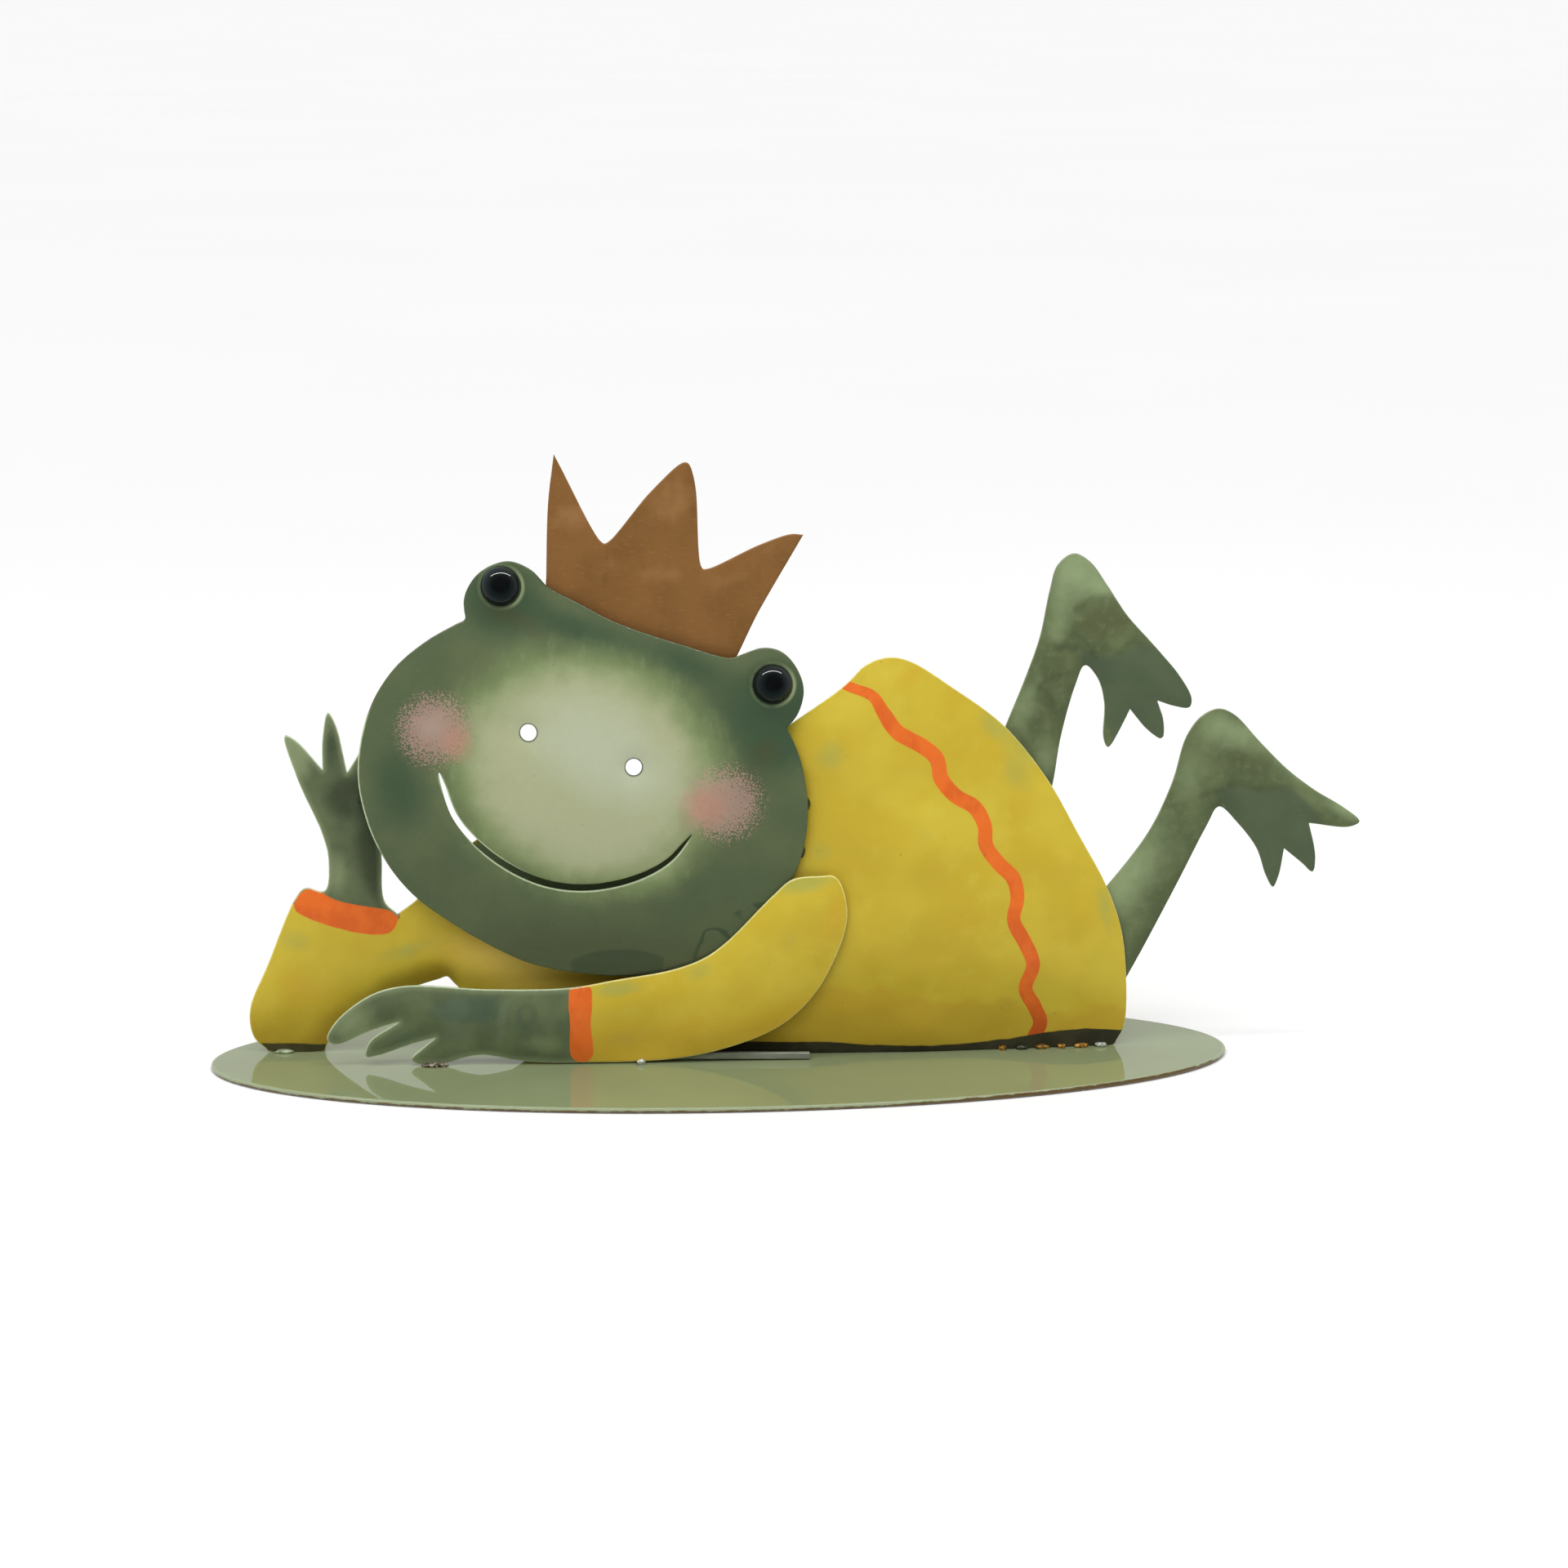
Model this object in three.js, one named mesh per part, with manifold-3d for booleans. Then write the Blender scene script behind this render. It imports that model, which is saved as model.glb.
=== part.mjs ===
// A painted sheet-metal frog that lies on its belly on an oval base plate, chin propped on one hand.
// Every sheet is a flat blank cut to an outline, pressed or leant a little, and welded to its neighbours.
// Frame: X to the frog's feet, -Y to the side it faces, +Z up, origin under the middle of the base plate.
import * as THREE from "three";
import Module from "manifold-3d";
import { mergeVertices } from "three/addons/utils/BufferGeometryUtils.js";

const wasm = await Module();
wasm.setup();

// Driving dimensions in millimetres.
const SHEET = 1.2; // thickness of every cut-out sheet
const GAP = 0.3; // clearance that stands for a touching or welded face
const BASE = { length: 314, depth: 128, thickness: 1.5, bevel: 0.3 };
const STANDING = BASE.thickness + GAP; // height of an edge that stands on the base plate
const EYE = { radius: 6.1, height: 4.6, seat: 0.2 }; // seat: rise that clears the curve of the brow
const EYES = { left_eye: [-66.5, 147.5], right_eye: [15.5, 117.5] };
const NOSTRIL_RADIUS = 2.5;
const NOSTRILS = [[-58.8, 104], [-27.1, 93.5]];
const MOUTH_WIDTH = 2.3;
const FACE = { x: -44, z: 82, halfWidth: 70, halfHeight: 55, turn: -0.32, dome: 8 };
const TORSO_DOME = 10;
const BAR = { length: 62, side: 2, right: 26.4, tilt: 0.012 };

// Surfaces: the Y of the middle of each sheet at a point (x, z) of its outline.
const TORSO_BORDERS = [
  { x: 0, z: -6, nx: 0, nz: 1 }, // the belly, just under the base plate
  { x: -16, z: 0, nx: 0.94, nz: -0.34 }, // the neck
  { x: 62, z: 124, nx: -0.79, nz: -0.613 }, // the slope from the back down to the seat
  { x: 127, z: 0, nx: -1, nz: 0 }, // the seat
];
const TORSO_SPAN = 55; // distance from a border at which the pressed dome reaches its full height
const TORSO_PLANE = 1.5; // Y of the torso's rim

// The torso is pressed out more the farther a point lies from every border.
function torsoDepth(x, z) {
  const shares = TORSO_BORDERS.map((border) => {
    const inside = (x - border.x) * border.nx + (z - border.z) * border.nz;
    const share = THREE.MathUtils.clamp(inside / TORSO_SPAN, 0, 1);
    return share * (2 - share);
  });
  return TORSO_PLANE - TORSO_DOME * shares.reduce((product, share) => product * share, 1);
}

// 0 below -edge, the value itself above edge, and a parabola between, so that a dome fades with no crease.
function fadeOut(value, edge) {
  if (value < -edge) return 0;
  return value > edge ? value : (value + edge) ** 2 / (4 * edge);
}

const headPlane = (x, z) => -4 - 0.06 * (x - 5) + 0.06 * (z - 75);

function headDepth(x, z) {
  const dx = x - FACE.x;
  const dz = z - FACE.z;
  const along = (dx * Math.cos(FACE.turn) + dz * Math.sin(FACE.turn)) / FACE.halfWidth;
  const across = (dz * Math.cos(FACE.turn) - dx * Math.sin(FACE.turn)) / FACE.halfHeight;
  return headPlane(x, z) - FACE.dome * fadeOut(1 - along ** 2 - across ** 2, 0.2);
}

const crownDepth = (x, z) => headPlane(x, z) + SHEET + 1;
const frontArmDepth = (x, z) => -11.2 - 0.03 * x + 0.05 * z;
const proppingArmDepth = (x, z) => 4.3 - 0.055 * x + 0.00036 * x * z;
const nearLegDepth = (x) => 3.4 - 0.06 * (x - 118);
const farLegDepth = (x, z) => 3.6 + 0.08 * (z - 84);

// Outlines: [x, z] points joined by smooth curves, broken at the points marked SHARP.
const SHARP = true;

const TORSO = [
  [51.5, 125], [58, 123.5], [70.5, 115.5], [87, 103], [101, 85.5], [110, 69.5], [119, 53], [123.5, 41],
  [125.5, 29], [125.5, 8], [122.5, STANDING, SHARP], [-13.5, STANDING, SHARP], [-8.5, 37.5], [0.5, 73],
  [5.5, 88.5], [14.5, 99], [37.5, 116.5], [44.5, 123],
];

const HEAD = [
  [-77.5, 137.5, SHARP], [-77.5, 144.5], [-73, 151.5], [-64.5, 155], [-57.5, 152.5], [-52, 147],
  [-43.5, 142.5], [-33, 137], [-21, 132.5], [-10, 129], [-2.5, 126.6], [3, 125.5], [7, 126.8],
  [12.5, 128.5],
  [18, 127.5], [22.5, 123], [25, 116], [23.5, 109], [20, 104, SHARP], [24, 94], [26, 81], [25, 68.5],
  [20.5, 56.5], [12.5, 46], [1, 37], [-12.5, 30.5], [-29, 28.2], [-47, 29.5], [-60, 32.5], [-72.5, 38.5],
  [-84, 45.5], [-94, 53], [-101.5, 62], [-107.5, 74], [-110.7, 91], [-107.2, 109.3], [-99.8, 121.8],
  [-90, 130.4],
];

const MOUTH_LINE = [
  [-86, 91.5], [-81, 77.5], [-70, 66], [-56, 58.5], [-42.5, 56.5], [-28, 59], [-17, 64.5], [-9.8, 72.5],
];

const CROWN = [
  [-50, 187, SHARP], [-35.6, 160.2], [-34.2, 160.2], [-20, 176.5], [-10, 184.5], [-7.6, 179], [-5.5, 152.5],
  [-4, 152.2], [12, 159.5], [21.5, 162.7], [25.2, 162.5, SHARP], [12, 140, SHARP], [1, 120, SHARP],
  [-24, 125], [-49.5, 136, SHARP], [-52.8, 147, SHARP], [-51.9, 172],
];

const FRONT_ARM = [
  [21, 58], [29, 59], [34.5, 58.5], [37.7, 50], [37, 41.5], [29.5, 25], [21, 15.5], [12, 10], [-3, 5],
  [-15.5, 2.8], [-27.5, 2], [-41, 2], [-54, 2.1], [-64, 3], [-74, 4.7], [-80, 3.8], [-84, 2.5],
  [-89, 2], [-94, 2.2], [-95.7, 3.7], [-92.5, 6.8], [-88.3, 10.2, SHARP], [-96.5, 8], [-105.5, 5],
  [-109.5, 4.6], [-108.5, 9], [-99.3, 15.3, SHARP], [-108, 12.6], [-119, 8.4], [-121.3, 10], [-118.5, 15.5],
  [-108, 23.5], [-97.5, 26.3], [-72, 25], [-47, 25.2], [-33.5, 27.4], [-15.5, 30.5], [-6, 34], [1, 39],
  [15, 53],
];

const PROPPING_ARM = [
  [-132.7, 102], [-129.5, 100.5], [-121.5, 91.3, SHARP], [-121.3, 100.5], [-119.5, 109], [-117.3, 105.5],
  [-114, 90.3, SHARP], [-111, 95], [-107.5, 101], [-104.5, 98], [-105.3, 84], [-104, 64], [-103.3, 49.5],
  [-99.5, 45.5, SHARP], [-93.5, 50], [-76, 68], [-58, 76], [-30, 81], [-0.5, 84.5], [12, 80],
  [15, 60], [12, 25], [8, STANDING, SHARP], [-56.5, STANDING, SHARP], [-71.5, 12.5], [-84.5, 25.5, SHARP],
  [-96.5, 21.5], [-110, 14], [-121.5, 4.5], [-122.5, STANDING, SHARP], [-140, STANDING, SHARP],
  [-144.5, 6.5], [-145.5, 15], [-139.5, 30], [-130.5, 51], [-127.5, 54], [-121.7, 53], [-120.3, 63],
  [-122, 71], [-129, 88],
];

const NEAR_LEG = [
  [120, 52], [132.5, 69], [139.5, 84.5], [143.5, 98.5], [148, 105], [153.5, 107.5], [158.5, 105.5],
  [166, 97.5], [175, 88.5], [183.5, 82], [192.5, 76.5], [197.7, 72], [194.5, 70.3], [182, 71.5, SHARP],
  [184.2, 61.5], [183.5, 56], [180.5, 58.5], [174.5, 63.5, SHARP], [173, 55], [171.3, 51.3], [169, 55],
  [166, 63.5], [160, 71.5], [154, 76.8], [150.5, 71], [141.5, 52.5], [127, 24], [118, 9], [107.5, 8],
  [103, 17], [106, 32], [113, 44],
];

const FAR_LEG = [
  [88, 102.5], [94, 117], [98.5, 129.5], [101.5, 143.5], [104, 151.5], [109, 155], [114, 152.5],
  [119.5, 145], [125.5, 136], [134, 126.5], [142, 117], [145.7, 110], [145, 107.3], [140.5, 107.7],
  [135, 109.5, SHARP], [137, 103], [136.5, 97.8], [132, 100.5], [126.5, 107, SHARP], [124, 102],
  [119.7, 95.3], [118.3, 98], [118.5, 109], [116.5, 116.5], [112.5, 120.7], [109.5, 114.5], [105, 98.5],
  [102.5, 84], [98, 69], [90, 63.5], [81.5, 67], [79.5, 78], [83, 90],
];

// A THREE curve point for an outline point: the outline's x and z are the curve's x and y.
const onCurve = ([x, z]) => new THREE.Vector3(x, z, 0);

// Points along a smooth curve through the given ones, about a step apart; two points make a straight line.
function smoothRun(points, step, closed = false) {
  const curve = new THREE.CatmullRomCurve3(points.map(onCurve), closed, "centripetal");
  const pieces = points.length > 2 ? Math.ceil(curve.getLength() / step) : 1;
  return curve.getPoints(pieces).slice(0, pieces);
}

// A closed outline as 2-D points, sharp only where its points say so.
function smoothOutline(points, step = 2.4) {
  const first = points.findIndex((p) => p[2] === SHARP);
  if (first < 0) return smoothRun(points, step, true);
  const turned = [...points.slice(first), ...points.slice(0, first), points[first]];
  const corners = turned.flatMap((p, i) => (p[2] === SHARP ? [i] : []));
  return corners.slice(1).flatMap((end, k) => smoothRun(turned.slice(corners[k], end + 1), step));
}

// A slot that follows a line and narrows to its two ends, drawn counter-clockwise as a hole is.
function slotOutline(line, width, pieces = 22) {
  const curve = new THREE.CatmullRomCurve3(line.map(onCurve), false, "centripetal");
  const side = (sign) => (_, i) => {
    const t = i / pieces;
    const along = curve.getTangentAt(t);
    const reach = (sign * width * (0.15 + 0.85 * Math.sin(Math.PI * t) ** 0.4)) / 2;
    return curve.getPointAt(t).add(new THREE.Vector3(-along.y * reach, along.x * reach, 0));
  };
  const upper = Array.from({ length: pieces + 1 }, side(1));
  const lower = Array.from({ length: pieces + 1 }, side(-1));
  return [...lower, ...upper.reverse()];
}

function circleOutline([x, z], radius, pieces = 20) {
  return new THREE.EllipseCurve(x, z, radius, radius).getPoints(pieces).slice(0, pieces);
}

// A closed geometry as a solid that can be joined or cut.
function toSolid(geometry) {
  geometry.deleteAttribute("normal");
  geometry.deleteAttribute("uv");
  const merged = mergeVertices(geometry, 1e-4);
  const triVerts = new Uint32Array(merged.index.array);
  const vertProperties = new Float32Array(merged.attributes.position.array);
  return new wasm.Manifold(new wasm.Mesh({ numProp: 3, vertProperties, triVerts }));
}

function toGeometry(solid) {
  const mesh = solid.getMesh();
  const geometry = new THREE.BufferGeometry();
  geometry.setAttribute("position", new THREE.BufferAttribute(mesh.vertProperties, 3));
  geometry.setIndex(new THREE.BufferAttribute(mesh.triVerts, 1));
  geometry.computeVertexNormals();
  return geometry;
}

// The outline with its holes, drawn out along Y well past both faces of its sheet.
function prism(outline, holes) {
  const reach = 60;
  const shape = new THREE.Shape(outline);
  shape.holes = holes.map((hole) => new THREE.Path(hole));
  const geometry = new THREE.ExtrudeGeometry(shape, { depth: 2 * reach, bevelEnabled: false });
  return toSolid(geometry.rotateX(Math.PI / 2).translate(0, reach, 0));
}

// A wavy slab of the sheet's thickness that follows depthAt over the outline's box.
function slab(outline, depthAt, cell) {
  const margin = 2;
  const box = new THREE.Box2().setFromPoints(outline).expandByScalar(margin);
  const size = box.getSize(new THREE.Vector2());
  const columns = Math.ceil(size.x / cell);
  const rows = Math.ceil(size.y / cell);
  const geometry = new THREE.BoxGeometry(size.x, size.y, SHEET, columns, rows, 1).rotateX(Math.PI / 2);
  geometry.translate(box.min.x + size.x / 2, 0, box.min.y + size.y / 2);
  const at = geometry.attributes.position;
  for (let i = 0; i < at.count; i += 1) at.setY(i, at.getY(i) + depthAt(at.getX(i), at.getZ(i)));
  return toSolid(geometry);
}

function sheetGeometry(outline, depthAt, cell, holes = []) {
  return toGeometry(prism(outline, holes).intersect(slab(outline, depthAt, cell)));
}

const root = new THREE.Group();

function addPiece(name, geometry, finish, parent = root) {
  const mesh = new THREE.Mesh(geometry, new THREE.MeshStandardMaterial(finish));
  mesh.name = name;
  parent.add(mesh);
  return mesh;
}

const SAGE = { color: 0x6f8266, roughness: 0.3, metalness: 0 };
const PALE_SAGE = { color: 0x9eac8c, roughness: 0.12, metalness: 0 };
const YELLOW = { color: 0xc8af3c, roughness: 0.3, metalness: 0 };
const FACE_GREEN = { color: 0x8d9c78, roughness: 0.25, metalness: 0 };
const COPPER = { color: 0x96663a, roughness: 0.45, metalness: 0.5 };
const BLACK_GLASS = { color: 0x0b0d0d, roughness: 0.04, metalness: 0 };
const BARE_STEEL = { color: 0x7f8478, roughness: 0.45, metalness: 0.8 };
const WELD_METAL = { color: 0x8a6a3c, roughness: 0.5, metalness: 0.8 };

// The oval base plate, its rim broken by a small bevel.
function basePlate() {
  const { length, depth, thickness, bevel } = BASE;
  const sides = 72;
  const curve = new THREE.EllipseCurve(0, 0, length / 2 - bevel, depth / 2 - bevel);
  const oval = curve.getPoints(sides).slice(0, sides);
  const settings = {
    depth: thickness - 2 * bevel,
    bevelThickness: bevel,
    bevelSize: bevel,
    bevelSegments: 1,
  };
  return new THREE.ExtrudeGeometry(new THREE.Shape(oval), settings).translate(0, 0, bevel);
}

// A half-round glass bead whose flat back lies at y = 0.
function eyeBead() {
  const { radius, height } = EYE;
  const steps = 7;
  const back = [new THREE.Vector2(0, 0)];
  const dome = Array.from({ length: steps + 1 }, (_, i) => {
    const angle = (i / steps) * (Math.PI / 2);
    const onAxis = i === steps;
    return new THREE.Vector2(onAxis ? 0 : radius * Math.cos(angle), height * Math.sin(angle));
  });
  return new THREE.LatheGeometry([...back, ...dome], 24);
}

// The unit vector that points out of the front of a sheet at (x, z).
function frontNormal(depthAt, x, z) {
  const reach = 1;
  const slopeX = (depthAt(x + reach, z) - depthAt(x - reach, z)) / (2 * reach);
  const slopeZ = (depthAt(x, z + reach) - depthAt(x, z - reach)) / (2 * reach);
  return new THREE.Vector3(slopeX, -1, slopeZ).normalize();
}

function addEye(name, [x, z]) {
  const normal = frontNormal(headDepth, x, z);
  const eye = addPiece(name, eyeBead(), BLACK_GLASS);
  eye.quaternion.setFromUnitVectors(new THREE.Vector3(0, 1, 0), normal);
  eye.position.set(x, headDepth(x, z), z).addScaledVector(normal, SHEET / 2 + GAP + EYE.seat);
}

// A weld bead: an egg of metal with the given half sizes along X, Y and Z.
function addWeld(name, centre, halfSizes) {
  const bead = addPiece(name, new THREE.SphereGeometry(1, 8, 6), WELD_METAL);
  bead.scale.set(...halfSizes);
  bead.position.set(...centre);
}

// A bead on the base plate, against the front of a sheet that stands there.
function addFootWeld(name, depthAt, x, [halfX, halfY, halfZ]) {
  const y = depthAt(x, STANDING) - SHEET / 2 - GAP - halfY;
  addWeld(name, [x, y, STANDING + halfZ], [halfX, halfY, halfZ]);
}

// A bead that fills the space between two sheets, one in front of the other, at (x, z).
function addTack(name, frontDepth, backDepth, [x, z], [halfX, halfZ]) {
  const front = frontDepth(x, z) + SHEET / 2 + GAP;
  const back = backDepth(x, z) - SHEET / 2 - GAP;
  addWeld(name, [x, (front + back) / 2, z], [halfX, (back - front) / 2, halfZ]);
}

addPiece("base_plate", basePlate(), PALE_SAGE);
addPiece("torso_shell", sheetGeometry(smoothOutline(TORSO, 3.5), torsoDepth, 9), YELLOW);
addPiece("propping_arm", sheetGeometry(smoothOutline(PROPPING_ARM), proppingArmDepth, 24), YELLOW);
addPiece("front_arm", sheetGeometry(smoothOutline(FRONT_ARM), frontArmDepth, 200), YELLOW);
addPiece("near_leg", sheetGeometry(smoothOutline(NEAR_LEG), nearLegDepth, 200), SAGE);
addPiece("far_leg", sheetGeometry(smoothOutline(FAR_LEG), farLegDepth, 200), SAGE);

const faceHoles = [
  slotOutline(MOUTH_LINE, MOUTH_WIDTH),
  ...NOSTRILS.map((centre) => circleOutline(centre, NOSTRIL_RADIUS)),
];
addPiece("head_panel", sheetGeometry(smoothOutline(HEAD, 3), headDepth, 9, faceHoles), FACE_GREEN);
addPiece("crown", sheetGeometry(smoothOutline(CROWN), crownDepth, 200), COPPER);
for (const [name, centre] of Object.entries(EYES)) addEye(name, centre);

// The square bar that stiffens the foot of the front arm, lying on the base plate just behind it.
function addFootBar() {
  const { length, side, right, tilt } = BAR;
  const x = right - length / 2;
  const yaw = Math.atan(frontArmDepth(1, 0) - frontArmDepth(0, 0));
  const lift = Math.sin(tilt) * (length / 2);
  const top = STANDING + side + 2 * lift; // the sleeve leans back over the bar, so it is cleared there
  const bar = addPiece("arm_foot_bar", new THREE.BoxGeometry(length, side, side), BARE_STEEL);
  bar.position.set(x, frontArmDepth(x, top) + (SHEET + side) / 2 + GAP, STANDING + side / 2 + lift);
  bar.rotation.set(0, tilt, yaw);
}

addFootBar();

const SEAT_WELDS = { count: 6, from: 87, to: 118 };
for (let i = 0; i < SEAT_WELDS.count; i += 1) {
  const x = THREE.MathUtils.lerp(SEAT_WELDS.from, SEAT_WELDS.to, i / (SEAT_WELDS.count - 1));
  addFootWeld(`seat_weld_${i + 1}`, torsoDepth, x, [2.1, 0.9, 0.8]);
}
addFootWeld("elbow_weld", proppingArmDepth, -135, [2.4, 0.9, 0.6]);
addFootWeld("finger_weld", frontArmDepth, -88.5, [3.4, 0.9, 0.6]);
addFootWeld("sleeve_weld", frontArmDepth, -25.5, [1.2, 0.8, 0.8]);

addTack("head_to_hand_tack", headDepth, proppingArmDepth, [-109, 82], [1.6, 1.6]);
addTack("head_to_back_tack", headDepth, torsoDepth, [25, 80], [1.6, 2.2]);
addTack("head_to_shoulder_tack", headDepth, torsoDepth, [23.5, 66], [1.6, 2]);
addTack("sleeve_to_shoulder_tack", frontArmDepth, torsoDepth, [33, 57], [1.6, 1.8]);
addTack("arm_to_neck_tack", torsoDepth, proppingArmDepth, [2, 70], [2, 2]);
addTack("near_leg_tack", torsoDepth, nearLegDepth, [116, 40], [1.8, 4]);
addTack("far_leg_tack", torsoDepth, farLegDepth, [94, 88], [2.5, 2.5]);
addTack("crown_tack_left", headDepth, crownDepth, [-38, 136], [2, 1.6]);
addTack("crown_tack_right", headDepth, crownDepth, [-5, 124], [2, 1.6]);

export default root;
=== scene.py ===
"""Painted sheet-metal frog on an oval base plate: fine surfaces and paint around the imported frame.

Every sheet is rebuilt from its own CAD node: the edge of the node's front face is smoothed and filled
with a fine mesh, the face is dented a little, and the cut edge is rounded. Working units are
millimetres, in the row frame: X to the feet, -Y to the side that the face looks to, +Z up.
"""
import math

import bmesh
import bpy
import numpy as np
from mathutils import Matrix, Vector, noise
from mathutils.bvhtree import BVHTree
from mathutils.geometry import delaunay_2d_cdt


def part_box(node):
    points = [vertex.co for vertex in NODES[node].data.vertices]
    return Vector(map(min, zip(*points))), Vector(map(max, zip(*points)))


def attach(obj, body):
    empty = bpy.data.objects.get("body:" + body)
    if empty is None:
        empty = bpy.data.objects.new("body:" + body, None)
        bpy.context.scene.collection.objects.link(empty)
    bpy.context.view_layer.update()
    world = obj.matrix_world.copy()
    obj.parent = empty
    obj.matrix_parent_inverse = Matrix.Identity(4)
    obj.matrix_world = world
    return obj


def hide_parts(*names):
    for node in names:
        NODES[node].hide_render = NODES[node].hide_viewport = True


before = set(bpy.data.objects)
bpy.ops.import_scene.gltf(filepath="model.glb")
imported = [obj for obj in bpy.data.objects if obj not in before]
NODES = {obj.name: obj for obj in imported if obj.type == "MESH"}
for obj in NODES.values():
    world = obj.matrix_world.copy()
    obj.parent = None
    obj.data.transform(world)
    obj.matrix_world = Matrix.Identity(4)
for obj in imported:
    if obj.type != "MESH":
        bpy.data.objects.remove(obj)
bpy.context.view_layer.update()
WELDS = [name for name in NODES if "weld" in name or "tack" in name]

MM = 0.001
SHEET = 1.2  # thickness of the sheets
EDGE = 0.35  # radius of a sheet's worn cut edge
OUTLINE_STEP = 0.7
CORNER_TURN = math.radians(75)  # an outline that turns more than this at one point has a corner there
FAR = 99.0  # a distance beyond the reach of any paint or dent
RAY_START = -200.0  # a Y in front of everything
FRONT_FACING = -0.3  # a CAD face whose normal's Y is below this belongs to a sheet's front
CLEARANCE = 0.3  # least gap that a swollen sheet keeps from what lies in front of it
TACK_FADE = 13  # distance from a tack over which the sheet behind it swells again
TACK_NEAR, TACK_AHEAD = 4, 5  # how far beside and before a sheet a tack still meets it
WELD_REACH = 0.35  # how much farther than its CAD node a bead goes into the pieces it joins
LINE_CHUNK = 2000  # points measured at once against a line

# ------------------------ outlines of the CAD sheets


def cad_mesh(node):
    bm = bmesh.new()
    bm.from_mesh(NODES[node].data)
    bmesh.ops.remove_doubles(bm, verts=bm.verts, dist=1e-6)
    bm.normal_update()
    return bm


def front_loops(node):
    """The edges of a sheet's front face as (x, z) loops, each with the sheet on its left.

    Each loop starts at its lowest x, and the loops are sorted, so every run gives the same mesh.
    """
    bm = cad_mesh(node)
    front = {f for f in bm.faces if f.normal.y < FRONT_FACING}
    follow = {}
    for face in front:
        for loop in face.loops:
            if not any(f in front for f in loop.edge.link_faces if f is not face):
                follow[loop.vert] = loop.link_loop_next.vert
    loops = []
    while follow:
        start = next(iter(follow))
        points, vert = [], start
        while vert in follow:
            points.append((vert.co.x / MM, vert.co.z / MM))
            vert = follow.pop(vert)
        first = points.index(min(points))
        loops.append(np.array(points[first:] + points[:first]))
    bm.free()
    return sorted(loops, key=lambda p: (-abs(area(p)), p[0, 0]))


def area(p):
    q = np.roll(p, -1, axis=0)
    return 0.5 * float(np.sum(p[:, 0] * q[:, 1] - q[:, 0] * p[:, 1]))


def without_straight_points(p, tolerance=0.008):
    """The loop without points that lie on the line between their neighbours."""
    kept = list(p)
    i = 0
    while i < len(kept) and len(kept) > 4:
        a, b, c = kept[i - 1], kept[i], kept[(i + 1) % len(kept)]
        chord = c - a
        off = abs(chord[0] * (b - a)[1] - chord[1] * (b - a)[0]) / (np.hypot(*chord) + 1e-9)
        if off < tolerance or np.hypot(*(b - a)) < 0.05:
            kept.pop(i)
        else:
            i += 1
    return np.array(kept)


def curve_piece(a, b, c, d, step):
    """Points from b up to c on the centripetal Catmull-Rom curve through four points."""
    points = [a, b, c, d]
    t = [0.0]
    for u, v in zip(points, points[1:]):
        t.append(t[-1] + max(np.hypot(*(v - u)), 1e-6) ** 0.5)
    count = max(1, int(round(np.hypot(*(c - b)) / step)))
    s = np.linspace(t[1], t[2], count, endpoint=False)[:, None]

    def between(p, q, lo, hi):
        return ((hi - s) * p + (s - lo) * q) / (hi - lo)

    one = [between(points[i], points[i + 1], t[i], t[i + 1]) for i in range(3)]
    two = [between(one[i], one[i + 1], t[i], t[i + 2]) for i in range(2)]
    return between(two[0], two[1], t[1], t[2])


def smooth_run(p, step):
    """An open run through the points p, without its last point."""
    p = np.asarray(p, float)
    padded = np.vstack([2 * p[0] - p[1], p, 2 * p[-1] - p[-2]])
    pieces = [curve_piece(*padded[i : i + 4], step) for i in range(len(p) - 1)]
    return np.vstack(pieces)


def smooth_loop(p, step=OUTLINE_STEP):
    """A closed loop through the points p, with its true corners kept."""
    before, after = p - np.roll(p, 1, axis=0), np.roll(p, -1, axis=0) - p
    turn = np.arctan2(before[:, 0] * after[:, 1] - before[:, 1] * after[:, 0], (before * after).sum(1))
    corners = [i for i in range(len(p)) if abs(turn[i]) > CORNER_TURN]
    if not corners:
        ring = np.vstack([p[-1:], p, p[:2]])
        return np.vstack([curve_piece(*ring[i : i + 4], step) for i in range(len(p))])
    turned = np.vstack([p[corners[0] :], p[: corners[0] + 1]])
    stops = [c - corners[0] for c in corners] + [len(p)]
    return np.vstack([smooth_run(turned[a : b + 1], step) for a, b in zip(stops, stops[1:])])


def inset(p, by):
    """The loop moved to its left, into the sheet."""
    along = np.roll(p, -1, axis=0) - np.roll(p, 1, axis=0)
    left = np.stack([-along[:, 1], along[:, 0]], 1)
    return p + by * left / (np.linalg.norm(left, axis=1, keepdims=True) + 1e-9)


# ------------------------ distances in the sheet's plane


def line_distance(q, line, closed=False):
    """Distance of each point of q from a polyline."""
    a = line if closed else line[:-1]
    b = np.roll(line, -1, axis=0) if closed else line[1:]
    best = np.full(len(q), np.inf)
    for start in range(0, len(q), LINE_CHUNK):
        part = q[start : start + LINE_CHUNK, None]
        d = b - a
        t = np.clip(((part - a) * d).sum(2) / ((d * d).sum(1) + 1e-12), 0, 1)
        gap = part - (a + t[..., None] * d)
        best[start : start + LINE_CHUNK] = np.sqrt((gap**2).sum(2)).min(1)
    return best


def inside(q, loops):
    """Whether each point of q lies inside the loops, by the even-odd rule."""
    odd = np.zeros(len(q), bool)
    for p in loops:
        r = np.roll(p, -1, axis=0)
        for (x0, z0), (x1, z1) in zip(p, r):
            if z0 != z1:
                spans = (z0 > q[:, 1]) != (z1 > q[:, 1])
                odd ^= spans & (q[:, 0] < (x1 - x0) * (q[:, 1] - z0) / (z1 - z0) + x0)
    return odd


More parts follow.
